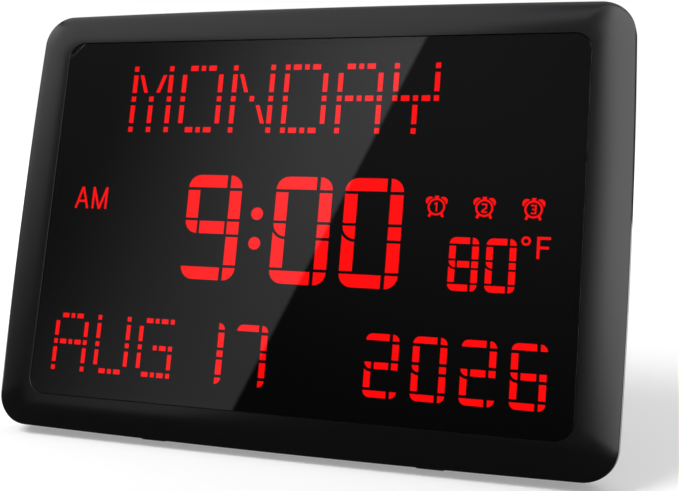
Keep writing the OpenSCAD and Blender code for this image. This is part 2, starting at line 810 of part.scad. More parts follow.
// Lamp places in a letter cell and in a digit, from the same grid as their elements
module lamp() {
    translate([-lamp_w / 2, board_y - lamp_d, -lamp_d / 2]) cube([lamp_w, lamp_d, lamp_d]);
}
module letter_lamps(span, row) {
    for (r = [0 : 4], c = [0 : 4]) translate([c * span / 4, 0, -r * row / 2] * face_k) lamp();
}
module digit_lamps(x, u, w, h, t) {
    for (px = [t / 2, w / 2, w - t / 2], k = [0 : 2])
        translate([x + px, 0, u + t / 2 + k * (h - t) / 2] * face_k) lamp();
    for (px = [t / 2, w - t / 2], k = [0, 1])
        translate([x + px, 0, u + t / 2 + (k + 0.5) * (h - t) / 2] * face_k) lamp();
}
module lamps() {
    color("#e8e2c8") in_place() from_middle() {
        for (i = [0 : len(weekday_cells) - 1]) translate([weekday_x + i * weekday_pitch, 0, weekday_u] * face_k)
            letter_lamps(weekday_span, weekday_row);
        for (i = [0 : 2]) translate([month_x + i * month_pitch, 0, month_u] * face_k)
            letter_lamps(weekday_span * month_scale, weekday_row * month_scale);
        for (x = time_lefts) digit_lamps(x, time_u, time_w, time_h, time_stroke);
        for (u = colon_us) translate([colon_x, 0, u] * face_k) lamp();
        for (i = [0, 1]) digit_lamps(day_x + i * date_pitch, date_u, date_w, date_h, date_stroke);
        for (i = [0 : 3]) digit_lamps(year_x + i * date_pitch, date_u, date_w, date_h, date_stroke);
        for (i = [0, 1]) digit_lamps(temp_x + i * temp_pitch, temp_u, temp_w, temp_h, temp_stroke);
        for (p = marker_pilots() * face_k) translate([p[0], 0, p[1]]) lamp();
    }
}

// A flat chip with pins along two sides, on the rear of the lamp board
pin_w = 0.4;
pin_out = 1.3;
pin_in = 0.1;
module chip(x, u, l, w, h, pins) {
    pitch = l / (pins + 0.5);
    pin_low = w / 2 - pin_in;
    translate([x, board_back, u]) union() {
        translate([-l / 2, 0, -w / 2]) cube([l, h, w]);
        for (side = [0, 1], k = [0 : pins - 1]) mirror([0, 0, side])
            translate([(k - (pins - 1) / 2) * pitch - pin_w / 2, 0, pin_low]) cube([pin_w, h * 0.4, pin_in + pin_out]);
    }
}

driver_xs = [-120, -78, 78, 120];
driver_u = -20;
driver_l = 18;
driver_w = 7.5;
driver_h = 2.3;
driver_pins = 14;
module lamp_drivers() {
    color("#26262a") in_place() from_middle() for (x = driver_xs)
        chip(x * face_k, driver_u, driver_l, driver_w, driver_h, driver_pins);
}
module clock_chip() {
    color("#202024") in_place() from_middle() chip(60, 44, 10, 10, 1.6, 12);
}
module crystal() {
    color("#c8c8cc") in_place() from_middle() block([45, board_back, 42], [51, board_back + 1.8, 45.5]);
}
module capacitors() {
    color("#2a2a52") in_place() from_middle()
        for (x = [64, 76, 88]) rod(x, -60, 3.1, board_back, board_back + 5.4);
}
module voltage_regulator() {
    color("#202024") in_place() from_middle() chip(100, -60, 6.5, 3.5, 1.6, 3);
}
module buzzer() {
    color("#1a1a1c") in_place() from_middle() difference() {
        rod(112, 20, 6, board_back, board_back + 6.5);
        rod(112, 20, 1, board_back + 4, board_back + 7);
    }
}

module light_sensor() {
    color("#3a3a40") in_place() from_middle() rod(sensor_x, sensor_u, sensor_r, board_y - 5, board_y);
}

// A bead on two legs behind the vents
module temperature_sensor() {
    color("#2b2b30") in_place() union() {
        translate([vent_x, board_back + 6, vent_z]) sphere(r = 1.6);
        for (side = [-1, 1]) rod(vent_x + side * 0.8, vent_z, 0.3, board_back, board_back + 6);
    }
}

// A flat slot with round ends, centred, for the power socket's shell
module socket_slot(grow) {
    hull() for (side = [-1, 1]) translate([side * (socket_w - socket_h) / 2, 0]) circle(r = socket_h / 2 + grow);
}
module power_socket() {
    shell_t = 0.3;
    mouth = recess_floor - 0.1;
    color("#c9ccd0") in_place() translate([socket_x, 0, socket_z]) union() {
        difference() {
            plate(board_back, mouth) socket_slot(0);
            plate(board_back + 0.5, mouth + 1) socket_slot(-shell_t);
        }
        block([-3.3, board_back, -0.35], [3.3, mouth - 0.6, 0.35]);
    }
}

module board_screws() {
    color("#b9bbbf") in_place() at_board_posts() screw(0, 0, board_back, reflector_y + 1);
}
module cover_screws() {
    color("#b9bbbf") in_place() at_cover_posts() screw(0, 0, cover_seat, reflector_y + 1.5);
}

module rear_shell() {
    outer = concat([at_depth(case_outline(0), parting_y)],
        [for (k = [0 : 6]) at_depth(case_outline(rear_ring_in(k)), rear_ring_y(k))]);
    inner = concat([at_depth(case_outline(wall), parting_y - 1)],
        [for (k = [0 : 6]) at_depth(case_outline(rear_ring_in(k) + wall * cos(15 * k)),
            rear_ring_y(k) - wall * sin(15 * k))]);
    difference() {
        loft(outer, false);
        loft(inner, false);
    }
}

module keyhole() {
    rod(0, 0, keyhole_r, panel_y - 1, case_d + 1);
    block([-keyhole_slot_r, panel_y - 1, 0], [keyhole_slot_r, case_d + 1, keyhole_slot_l]);
    rod(0, keyhole_slot_l, keyhole_slot_r, panel_y - 1, case_d + 1);
}

module rear_cover() {
    rw = stand_recess_w / 2;
    recess_y = case_d - stand_recess_d;
    sw = socket_recess_w / 2;
    sh = socket_recess_h / 2;
    color("#1a1a1c") in_place() difference() {
        union() {
            rear_shell();
            at_cover_posts() rod(0, 0, post_r, parting_y, panel_y + 0.5);
            block([-rw - wall, recess_y - wall, wall], [rw + wall, panel_y + 0.5, stand_top + wall]);
            block([socket_x - sw - recess_wall, recess_floor - recess_wall, socket_z - sh - recess_wall],
                [socket_x + sw + recess_wall, panel_y + 0.5, socket_z + sh + recess_wall]);
            block([battery_x - door_w / 2 - 1.5, pocket_floor - pocket_floor_t, battery_z - door_h / 2 - 1.5],
                [battery_x + door_w / 2 + 1.5, panel_y + 0.5, battery_z + door_h / 2 + 1.5]);
            for (side = [-1, 1]) rod(button_x + side * key_post_x, button_z, key_post_r, key_back, panel_y + 0.5);
        }
        // Screws
        at_cover_posts() rod(0, 0, screw_r + 0.2, parting_y - 1, case_d);
        at_cover_posts() rod(0, 0, screw_head_r + 0.3, cover_seat, case_d + 1);
        for (side = [-1, 1])
            rod(button_x + side * key_post_x, button_z, key_screw_r + 0.05, key_back - 1, panel_y - 1);
        // Stand recess and hinge pin
        block([-rw, recess_y, -1], [rw, case_d + 1, stand_top]);
        translate([-pin_l / 2, hinge_y, stand_hinge_z]) rotate([0, 90, 0])
            cylinder(r = stand_pin_r + 0.02, h = pin_l);
        // Power socket
        block([socket_x - sw, recess_floor, socket_z - sh], [socket_x + sw, case_d + 1, socket_z + sh]);
        translate([socket_x, 0, socket_z]) plate(recess_floor - recess_wall - 1, recess_floor + 1)
            socket_slot(fit_gap);
        // Battery pocket
        rod(battery_x, battery_z, cell_r + fit_gap, pocket_floor, case_d);
        block([battery_x - door_w / 2 - fit_gap, panel_y, battery_z - door_h / 2 - fit_gap],
            [battery_x + door_w / 2 + fit_gap, case_d + 1, battery_z + door_h / 2 + fit_gap]);
        block([battery_x + cell_r - 1, pocket_floor, battery_z - 3],
            [battery_x + cell_r + 2, panel_y + 0.1, battery_z + 3]);
        rod(battery_x, battery_z, 0.6, pocket_floor - 3, pocket_floor + 1);
        rod(battery_x + cell_r + 1, battery_z, 0.6, pocket_floor - 3, pocket_floor + 1);
        // Buttons, vents and keyholes
        for (i = [-2 : 2]) rod(button_x + i * button_pitch, button_z, button_r + 0.3, panel_y - 1, case_d + 1);
        for (i = [0 : vent_count - 1]) translate([vent_x + (i - (vent_count - 1) / 2) * vent_pitch, 0, vent_z])
            block([-vent_w / 2, panel_y - 1, -vent_l / 2], [vent_w / 2, case_d + 1, vent_l / 2]);
        for (x = keyhole_xs) translate([x, 0, case_h - keyhole_drop]) keyhole();
    }
}

module key_board() {
    color("#0f3d24") in_place() difference() {
        block([button_x - key_board_w / 2, key_back - board_t, button_z - key_board_h / 2],
            [button_x + key_board_w / 2, key_back, button_z + key_board_h / 2]);
        for (side = [-1, 1])
            rod(button_x + side * key_post_x, button_z, key_screw_r + 0.1, key_back - board_t - 1, key_back + 1);
    }
}
module key_switches() {
    color("#9a9ca2") in_place() for (i = [-2 : 2]) translate([button_x + i * button_pitch, 0, button_z]) union() {
        block([-switch_w / 2, key_back, -switch_w / 2], [switch_w / 2, key_back + switch_h, switch_w / 2]);
        rod(0, 0, 1.7, key_back + switch_h - 0.5, key_back + switch_h + plunger_h);
    }
}
module key_screws() {
    color("#b9bbbf") in_place() for (side = [-1, 1]) {
        rod(button_x + side * key_post_x, button_z, key_screw_head_r, key_back - board_t - key_screw_head_h,
            key_back - board_t);
        rod(button_x + side * key_post_x, button_z, key_screw_r, key_back - board_t - 0.5, key_back + board_t * 2);
    }
}
// A flat cable between two headers
module key_cable() {
    x = button_x + key_post_x - plug_w - 4;
    plug_low = mid_z - 1;
    color("#d9d9d4") in_place() union() {
        block([x - plug_w / 2, board_back, plug_low], [x + plug_w / 2, board_back + plug_t, plug_low + plug_h]);
        block([x - cable_w / 2, board_back + plug_t / 2, plug_low + plug_h - 1],
            [x + cable_w / 2, board_back + plug_t / 2 + cable_t, button_z]);
        block([x - plug_w / 2, board_back + 0.6, button_z - plug_h], [x + plug_w / 2, key_back - board_t, button_z]);
    }
}

module button(i) {
    color("#2a2a2d") in_place() translate([button_x + i * button_pitch, 0, button_z]) union() {
        rod(0, 0, button_r, panel_y - slide_gap - 0.5, case_d + button_proud);
        rod(0, 0, key_flange_r, panel_y - slide_gap - flange_t, panel_y - slide_gap);
        rod(0, 0, 1.7, panel_y - slide_gap - flange_t - stem_l, panel_y - slide_gap - 0.5);
    }
}
module button_set() {
    button(-2);
}
module button_up() {
    button(-1);
}
module button_down() {
    button(0);
}
module button_alarm() {
    button(1);
}
module button_dimmer() {
    button(2);
}

module coin_cell() {
    color("#d0d2d5") in_place() rod(battery_x, battery_z, cell_r, cell_front, cell_back);
}
module battery_contacts() {
    rim = battery_x + cell_r;
    color("#c9a24a") in_place() {
        union() {
            block([battery_x - 6, pocket_floor, battery_z - 2], [battery_x + 6, cell_front, battery_z + 2]);
            rod(battery_x, battery_z, 0.5, board_back, pocket_floor + 0.1);
        }
        union() {
            block([rim + 0.1, pocket_floor, battery_z - 2.5], [rim + 1.5, pocket_floor + 0.4, battery_z + 2.5]);
            block([rim + 0.1, pocket_floor, battery_z - 2.5], [rim + 0.5, cell_back, battery_z + 2.5]);
            rod(rim + 1, battery_z, 0.5, board_back, pocket_floor + 0.1);
        }
    }
}
// A lift-off lid, flush with the panel, with a ribbed grip
module battery_door() {
    color("#1a1a1c") in_place() difference() {
        block([battery_x - door_w / 2, panel_y + 0.05, battery_z - door_h / 2],
            [battery_x + door_w / 2, case_d, battery_z + door_h / 2]);
        for (k = [0 : 4]) block([battery_x - 7, case_d - 0.6, battery_z + 3 + k * 1.6],
            [battery_x + 7, case_d + 1, battery_z + 3.8 + k * 1.6]);
    }
}

// A shape in the depth and height plane, from x0 to x1
module across(x0, x1) {
    translate([x0, 0, 0]) rotate([90, 0, 90]) linear_extrude(x1 - x0) children();
}
// Height of the floor, in the opened leg's own frame, at depth y and up above it
function leg_floor(y, up) = (up - hinge_h - y * sin(stand_splay)) / cos(stand_splay);
leg_y1 = case_d - hinge_y - 0.2;
leg_y0 = leg_y1 - stand_t;
module at_hinge() {
    in_place() translate([0, hinge_y, stand_hinge_z]) children();
}
module stand_pin() {
    color("#b9bbbf") at_hinge() translate([-pin_l / 2 + 0.1, 0, 0]) rotate([0, 90, 0])
        cylinder(r = stand_pin_r, h = pin_l - 0.2);
}
module stand_leg() {
    hw = stand_w / 2;
    color("#1a1a1c") at_hinge() rotate([fold_angle, 0, 0]) difference() {
        union() {
            across(-hw, hw) polygon([[leg_y0, 0], [leg_y0, leg_floor(leg_y0, shoe_t)],
                [leg_y1, leg_floor(leg_y1, shoe_t)], [leg_y1, -2], [leg_y1 - 2, 0]]);
            translate([-hw, 0, 0]) rotate([0, 90, 0]) cylinder(r = barrel_r, h = stand_w);
        }
        translate([-hw - 1, 0, 0]) rotate([0, 90, 0]) cylinder(r = stand_pin_r + stand_play, h = stand_w + 2);
        for (side = [-1, 1]) block([side * stand_w / 4 - stand_w / 6, leg_y1 - 1, -leg_l + 18],
            [side * stand_w / 4 + stand_w / 6, leg_y1 + 1, -14]);
    }
}
module stand_shoe() {
    hw = stand_w / 2;
    color("#101011") at_hinge() rotate([fold_angle, 0, 0]) across(-hw, hw)
        polygon([[leg_y0, leg_floor(leg_y0, shoe_t)], [leg_y0, leg_floor(leg_y0, 0)],
            [leg_y1, leg_floor(leg_y1, 0)], [leg_y1, leg_floor(leg_y1, shoe_t)]]);
}

// Two wedges whose soles lie on the floor
foot_x = 75;
function local_floor(y) = (y * sin(lean) - floor_h) / cos(lean);
module rubber_feet() {
    top = top_bow * pow((foot_x - foot_l / 2) / (half_w - side_bow - corner_r), 2) - 0.05;
    color("#101011") in_place() for (side = [-1, 1]) across(side * foot_x - foot_l / 2, side * foot_x + foot_l / 2)
        polygon([[foot_y0, top], [foot_y0, local_floor(foot_y0)], [foot_y1, local_floor(foot_y1)], [foot_y1, top]]);
}

front_bezel();
lens();
lens_tape();
reflector();
weekday_segments();
time_segments();
month_segments();
day_segments();
year_segments();
temperature_segments();
am_marker();
degree_marker();
alarm_markers();
spare_segments();
lamp_board();
lamps();
lamp_drivers();
clock_chip();
crystal();
capacitors();
voltage_regulator();
buzzer();
light_sensor();
temperature_sensor();
power_socket();
board_screws();
rear_cover();
cover_screws();
key_board();
key_switches();
key_cable();
key_screws();
coin_cell();
battery_contacts();
battery_door();
stand_pin();
stand_leg();
stand_shoe();
rubber_feet();
button_set();
button_up();
button_down();
button_alarm();
button_dimmer();
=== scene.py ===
"""Day clock: the visual model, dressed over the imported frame.

The clock is a shallow black case with a sloping border, a smoked lens and a red
segment read-out. It leans back on a folding stand. All lengths are in metres.
"""
import logging
import math
from dataclasses import dataclass
from enum import Enum
from typing import Callable, Sequence

import bmesh
import bpy
from mathutils import Euler, Matrix, Vector


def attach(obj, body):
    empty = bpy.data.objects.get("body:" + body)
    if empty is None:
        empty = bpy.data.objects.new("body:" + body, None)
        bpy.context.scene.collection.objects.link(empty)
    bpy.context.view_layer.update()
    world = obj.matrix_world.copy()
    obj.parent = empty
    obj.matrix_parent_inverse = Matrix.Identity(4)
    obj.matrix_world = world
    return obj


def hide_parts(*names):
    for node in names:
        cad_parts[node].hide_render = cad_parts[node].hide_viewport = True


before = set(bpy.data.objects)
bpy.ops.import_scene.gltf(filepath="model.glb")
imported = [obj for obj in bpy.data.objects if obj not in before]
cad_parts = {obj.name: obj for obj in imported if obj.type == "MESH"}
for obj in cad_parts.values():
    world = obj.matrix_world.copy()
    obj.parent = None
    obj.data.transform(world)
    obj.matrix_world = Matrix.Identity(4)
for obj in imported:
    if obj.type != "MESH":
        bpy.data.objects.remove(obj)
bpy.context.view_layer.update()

NODES: dict[str, bpy.types.Object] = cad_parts
MM = 0.001
LOG = logging.getLogger("day_clock")

Point2 = tuple[float, float]
Pair = tuple[float, float]
Colour = tuple[float, float, float]
WHITE = (1.0, 1.0, 1.0, 1.0)
BMesh = bmesh.types.BMesh
Node = bpy.types.Node
Socket = bpy.types.NodeSocket
Tree = bpy.types.NodeTree


class Body(Enum):
    """The rigid bodies that made pieces ride on."""

    CASE = "clock_case"
    SET_BUTTON = "set_button"
    UP_BUTTON = "up_button"
    DOWN_BUTTON = "down_button"
    ALARM_BUTTON = "alarm_button"
    DIMMER_BUTTON = "dimmer_button"


class Grain(Enum):
    """What the surface of a moulding or a metal piece looks like close up."""

    SATIN = "satin"
    SPARK = "spark"
    BRUSHED = "brushed"
    FOAM = "foam"


# --- finishes ---


def made_once(name: str, link_nodes: Callable[[Tree], None]) -> bpy.types.Material:
    """Returns the material of a name, made at its first use and kept.

    Args:
        name: The material's name.
        link_nodes: Sets up its nodes.
    """
    known = bpy.data.materials.get(name)
    if known is not None:
        return known
    material = bpy.data.materials.new(name)
    material.use_nodes = True
    link_nodes(material.node_tree)
    return material


def link_noise(tree: Tree, place: Node, size: float, layers: float) -> Socket:
    """Adds a noise texture in object space and returns its value.

    Args:
        tree: The material's nodes.
        place: The texture coordinate node.
        size: Width of one blotch, in metres.
        layers: How many finer layers it has.
    """
    noise = tree.nodes.new("ShaderNodeTexNoise")
    noise.inputs["Scale"].default_value = 1.0 / size
    noise.inputs["Detail"].default_value = layers
    tree.links.new(place.outputs["Object"], noise.inputs["Vector"])
    return noise.outputs["Fac"]


@dataclass(frozen=True)
class Finish:
    """A procedural surface: colour, gloss and a fine grain.

    Attributes:
        name: The material's name.
        slot: The record's material slot that it belongs to. Not used.
        colour: Base colour, linear.
        roughness: Mean roughness.
        metallic: 1 for bare metal.
        grain: The kind of fine relief.
        grain_size: Width of one grain, in metres.
        relief: Strength of the bump, 0 to 1.
        mottle: How far colour and roughness wander, as a share.
        coat: Weight of a clear coat.
        shine: Specular level, 0.5 for plain plastic.
        colour_noise: Width of a blotch of the wandering colour, and how many finer layers it has.
        colour_ends: Noise values at which the colour is at its lowest and at its highest.
        gloss_noise: Width of a blotch of the wandering roughness, and how many finer layers it has.
        grain_layers: How many finer layers a satin grain has.
        grain_height: Height of a grain as a share of its width.
        brush_stretch: Width of a brushed line as a share of its length.
    """

    name: str
    slot: str
    colour: Colour
    roughness: float = 0.5
    metallic: float = 0.0
    grain: Grain = Grain.SATIN
    grain_size: float = 0.0006
    relief: float = 0.1
    mottle: float = 0.12
    coat: float = 0.0
    shine: float = 0.5
    colour_noise: Pair = (0.035, 3.0)
    colour_ends: Pair = (0.3, 0.7)
    gloss_noise: Pair = (0.012, 4.0)
    grain_layers: float = 2.0
    grain_height: float = 0.3
    brush_stretch: float = 0.04

    def link_nodes(self, tree: Tree) -> None:
        """Sets up the material's nodes.

        Args:
            tree: The material's nodes.
        """
        shader = tree.nodes["Principled BSDF"]
        shader.inputs["Metallic"].default_value = self.metallic
        shader.inputs["Coat Weight"].default_value = self.coat
        shader.inputs["Specular IOR Level"].default_value = self.shine
        place = tree.nodes.new("ShaderNodeTexCoord")
        self._colour(tree, shader, place)
        self._gloss(tree, shader, place)
        self._relief(tree, shader, place)

    def _colour(self, tree: Tree, shader: Node, place: Node) -> None:
        """Links a colour that wanders slightly over the piece.

        Args:
            tree: The material's nodes.
            shader: The surface shader.
            place: The texture coordinate node.
        """
        noise = link_noise(tree, place, *self.colour_noise)
        ramp = tree.nodes.new("ShaderNodeValToRGB")
        low = tuple(c * (1 - self.mottle) for c in self.colour) + (1.0,)
        high = tuple(min(c * (1 + self.mottle), 1.0) for c in self.colour) + (1.0,)
        ramp.color_ramp.elements[0].position = self.colour_ends[0]
        ramp.color_ramp.elements[0].color = low
        ramp.color_ramp.elements[1].position = self.colour_ends[1]
        ramp.color_ramp.elements[1].color = high
        tree.links.new(noise, ramp.inputs["Fac"])
        tree.links.new(ramp.outputs["Color"], shader.inputs["Base Color"])

    def _gloss(self, tree: Tree, shader: Node, place: Node) -> None:
        """Links a roughness that wanders slightly over the piece.

        Args:
            tree: The material's nodes.
            shader: The surface shader.
            place: The texture coordinate node.
        """
        noise = link_noise(tree, place, *self.gloss_noise)
        span = tree.nodes.new("ShaderNodeMapRange")
        span.inputs["To Min"].default_value = self.roughness * (1 - self.mottle)
        span.inputs["To Max"].default_value = min(self.roughness * (1 + self.mottle), 1.0)
        tree.links.new(noise, span.inputs["Value"])
        tree.links.new(span.outputs["Result"], shader.inputs["Roughness"])

    def _relief(self, tree: Tree, shader: Node, place: Node) -> None:
        """Links the fine relief.

        Args:
            tree: The material's nodes.
            shader: The surface shader.
            place: The texture coordinate node.
        """
        if self.grain in (Grain.SPARK, Grain.FOAM):
            texture = tree.nodes.new("ShaderNodeTexVoronoi")
            texture.inputs["Scale"].default_value = 1.0 / self.grain_size
            tree.links.new(place.outputs["Object"], texture.inputs["Vector"])
            height = texture.outputs["Distance"]
        elif self.grain is Grain.BRUSHED:
            stretch = tree.nodes.new("ShaderNodeMapping")
            stretch.inputs["Scale"].default_value = (self.brush_stretch, 1.0, 1.0)
            tree.links.new(place.outputs["Object"], stretch.inputs["Vector"])
            texture = tree.nodes.new("ShaderNodeTexNoise")
            texture.inputs["Scale"].default_value = 1.0 / self.grain_size
            tree.links.new(stretch.outputs["Vector"], texture.inputs["Vector"])
            height = texture.outputs["Fac"]
        else:
            height = link_noise(tree, place, self.grain_size, self.grain_layers)
        bump = tree.nodes.new("ShaderNodeBump")
        bump.inputs["Strength"].default_value = self.relief
        bump.inputs["Distance"].default_value = self.grain_size * self.grain_height
        tree.links.new(height, bump.inputs["Height"])
        tree.links.new(bump.outputs["Normal"], shader.inputs["Normal"])


@dataclass(frozen=True)
class SmokedAcrylic:
    """Polished dark acrylic that lets a strong light through.

    Attributes:
        name: The material's name.
        slot: The record's material slot that it belongs to. Not used.
        tint: Colour that light keeps on its way through each face.
        roughness: Roughness of the polished face.
        bending: Index of refraction of acrylic.
        haze_noise: Width of a cloud of haze, and how many finer layers it has.
        haze_ends: Least and greatest roughness, as shares of the mean.
    """

    name: str = "smoked_acrylic"
    slot: str = "lens_smoke"
    tint: Colour = (0.08, 0.078, 0.08)
    roughness: float = 0.015
    bending: float = 1.49
    haze_noise: Pair = (1 / 18, 4.0)
    haze_ends: Pair = (0.6, 1.6)

    def link_nodes(self, tree: Tree) -> None:
        """Sets up the lens material's nodes.

        Args:
            tree: The material's nodes.
        """
        shader = tree.nodes["Principled BSDF"]
        shader.inputs["Base Color"].default_value = self.tint + (1.0,)
        shader.inputs["Transmission Weight"].default_value = 1.0
        shader.inputs["IOR"].default_value = self.bending
        place = tree.nodes.new("ShaderNodeTexCoord")
        haze = link_noise(tree, place, *self.haze_noise)
        span = tree.nodes.new("ShaderNodeMapRange")
        span.inputs["To Min"].default_value = self.roughness * self.haze_ends[0]
        span.inputs["To Max"].default_value = self.roughness * self.haze_ends[1]
        tree.links.new(haze, span.inputs["Value"])
        tree.links.new(span.outputs["Result"], shader.inputs["Roughness"])


@dataclass(frozen=True)
class LitResin:
    """Frosted resin with a lamp behind it.

    Attributes:
        name: The material's name.
        slot: The record's material slot that it belongs to. Not used.
        glow: Colour of the light that it gives.
        strength: Strength of that light.
        unevenness: How far the light wanders over an element.
        base: Colour of the resin itself.
        roughness: Roughness of the frosted face.
        cloud_noise: Width of a cloud of uneven light, and how many finer layers it has.
    """

    name: str
    slot: str
    glow: Colour
    strength: float
    unevenness: float = 0.08
    base: Colour = (0.12, 0.004, 0.004)
    roughness: float = 0.6
    cloud_noise: Pair = (0.00625, 2.0)

    def link_nodes(self, tree: Tree) -> None:
        """Sets up the resin material's nodes.

        Args:
            tree: The material's nodes.
        """
        shader = tree.nodes["Principled BSDF"]
        shader.inputs["Base Color"].default_value = self.base + (1.0,)
        shader.inputs["Roughness"].default_value = self.roughness
        shader.inputs["Emission Strength"].default_value = self.strength
        place = tree.nodes.new("ShaderNodeTexCoord")
        cloud = link_noise(tree, place, *self.cloud_noise)
        ramp = tree.nodes.new("ShaderNodeValToRGB")
        dim = tuple(c * (1 - self.unevenness) for c in self.glow)
        ramp.color_ramp.elements[0].color = dim + (1.0,)
        ramp.color_ramp.elements[1].color = self.glow + (1.0,)
        tree.links.new(cloud, ramp.inputs["Fac"])
        tree.links.new(ramp.outputs["Color"], shader.inputs["Emission Color"])


SurfaceFinish = Finish | SmokedAcrylic | LitResin

CASE_BLACK = Finish("case_satin_black", "case_black", (0.0022, 0.0021, 0.0027), roughness=0.22,
                    grain_size=0.0005, relief=0.05, mottle=0.06)
COVER_BLACK = Finish("cover_spark_black", "cover_black", (0.02, 0.02, 0.0205), roughness=0.5,
                     grain=Grain.SPARK, grain_size=0.0007, relief=0.45)
LENS_SMOKE = SmokedAcrylic()
TAPE_BLACK = Finish("tape_foam", "tape_black", (0.012, 0.012, 0.012), roughness=0.9,
                    grain=Grain.FOAM, grain_size=0.0004, relief=0.5)
MASK_BLACK = Finish("mask_matt_black", "mask_black", (0.002, 0.002, 0.0022), roughness=0.85,
                    grain_size=0.0003, relief=0.1, shine=0.05)
SEGMENT_LIT = LitResin("resin_lit_red", "segment_lit", (1.0, 0.0008, 0.001), 14.5)
SEGMENT_DARK = Finish("resin_dark", "segment_dark", (0.0022, 0.0019, 0.0021), roughness=0.75,
                      grain_size=0.0003, relief=0.1, shine=0.05)
BOARD_GREEN = Finish("solder_mask_green", "board_green", (0.010, 0.075, 0.032), roughness=0.32,
                     grain_size=0.0011, relief=0.12, coat=0.4)
LAMP_CREAM = Finish("lamp_package", "lamp_cream", (0.72, 0.66, 0.45), roughness=0.4, relief=0.05)
CHIP_BLACK = Finish("chip_package", "chip_black", (0.014, 0.014, 0.015), roughness=0.7,
                    grain=Grain.SPARK, grain_size=0.00025, relief=0.3)
CAPACITOR_BLUE = Finish("capacitor_sleeve", "capacitor_blue", (0.012, 0.014, 0.09), roughness=0.25,
                        relief=0.04)
SENSOR_GREY = Finish("sensor_epoxy", "sensor_grey", (0.03, 0.03, 0.035), roughness=0.2, relief=0.04)
STEEL = Finish("plated_steel", "steel", (0.56, 0.57, 0.58), roughness=0.28, metallic=1.0,
               grain=Grain.BRUSHED, grain_size=0.0003, relief=0.12)
BRASS = Finish("spring_brass", "brass", (0.72, 0.5, 0.2), roughness=0.3, metallic=1.0,
               grain=Grain.BRUSHED, grain_size=0.0003, relief=0.1)
SWITCH_GREY = Finish("switch_body", "switch_grey", (0.16, 0.165, 0.175), roughness=0.35, relief=0.06)
CABLE_WHITE = Finish("flat_cable", "cable_white", (0.6, 0.6, 0.56), roughness=0.45, relief=0.08)
RUBBER_BLACK = Finish("soft_rubber", "rubber", (0.012, 0.012, 0.0115), roughness=0.8,
                      grain=Grain.SPARK, grain_size=0.0003, relief=0.35)
BUTTON_GREY = Finish("button_satin", "button_grey", (0.075, 0.076, 0.08), roughness=0.42,
                     grain_size=0.0004, relief=0.12)


# --- the case's own frame ---


@dataclass(frozen=True)
class LeaningFrame:
    """The frame the case is drawn in: x right, depth to the rear, height from the case's lower edge.

    Attributes:
        lean: How far the face leans back, in radians.
        shift: Place of the face's lower edge along world Y.
        lift: Height of the face's lower edge above the floor.
        middle: Height of the face's middle in this frame.
    """

    lean: float = math.radians(16.6)
    shift: float = -46.6573 * MM
    lift: float = 6.05189 * MM
    middle: float = 117 * MM

    def point(self, x: float, depth: float, height: float) -> Vector:
        """Returns the world place of a point of the case.

        Args:
            x: Distance to the right of the middle.
            depth: Distance behind the foremost plane.
            height: Height above the lower edge, along the face.
        """
        c, s = math.cos(self.lean), math.sin(self.lean)
        return Vector((x, depth * c + height * s + self.shift, -depth * s + height * c + self.lift))

    def face_point(self, x: float, up: float, ahead: float) -> Vector:
        """Returns the world place of a point told from the middle of the face.

        Args:
            x: Distance to the right.
            up: Distance up along the face.
            ahead: Distance in front of the face.
        """
        return self.point(x, -ahead, self.middle + up)

    def matrix(self, x: float, depth: float, height: float) -> Matrix:
        """Returns a world matrix whose axes are the case's right, depth and height.

        Args:
            x: As in point.
            depth: As in point.
            height: As in point.
        """
        return Matrix.Translation(self.point(x, depth, height)) @ Matrix.Rotation(-self.lean, 4, "X")


FRAME = LeaningFrame()


# --- mesh helpers ---


WELD_GAP = 0.001 * MM
EDGE_STEPS = 2
TURN_STEPS = 64
SHARP_DEGREES = 32.0


def make_object(name: str, bm: BMesh) -> bpy.types.Object:
    """Turns a bmesh into a smooth-shaded object with sharp edges kept.

    Args:
        name: The object's name.
        bm: The mesh, freed afterwards.

    Returns:
        The new object, linked to the scene.
    """
    bmesh.ops.recalc_face_normals(bm, faces=bm.faces)
    mesh = bpy.data.meshes.new(name)
    bm.to_mesh(mesh)
    bm.free()
    mesh.shade_smooth()
    mesh.set_sharp_from_angle(angle=math.radians(SHARP_DEGREES))
    made = bpy.data.objects.new(name, mesh)
    bpy.context.scene.collection.objects.link(made)
    return made


def make_sheet(name: str, low: Point2, high: Point2) -> bpy.types.Object:
    """Makes a flat rectangle that faces up.

    Args:
        name: The object's name.
        low: Its left and near corner.
        high: Its right and far corner.

    Returns:
        The new object, linked to the scene.
    """
    bm = bmesh.new()
    corners = (low, (high[0], low[1]), high, (low[0], high[1]))
    bm.faces.new([bm.verts.new((x, y, 0)) for x, y in corners])
    return make_object(name, bm)


def loft(bm: BMesh, rings: Sequence[Sequence[Vector]]) -> None:
    """Skins closed rings of equal count, each to the next and the last to the first.

    Args:
        bm: The mesh to add to.
        rings: The rings, each a closed list of points.
    """
    rows = [[bm.verts.new(p) for p in ring] for ring in rings]
    count = len(rows[0])
    for a, b in zip(rows, rows[1:] + rows[:1]):
        for i in range(count):
            k = (i + 1) % count
            bm.faces.new((a[i], a[k], b[k], b[i]))


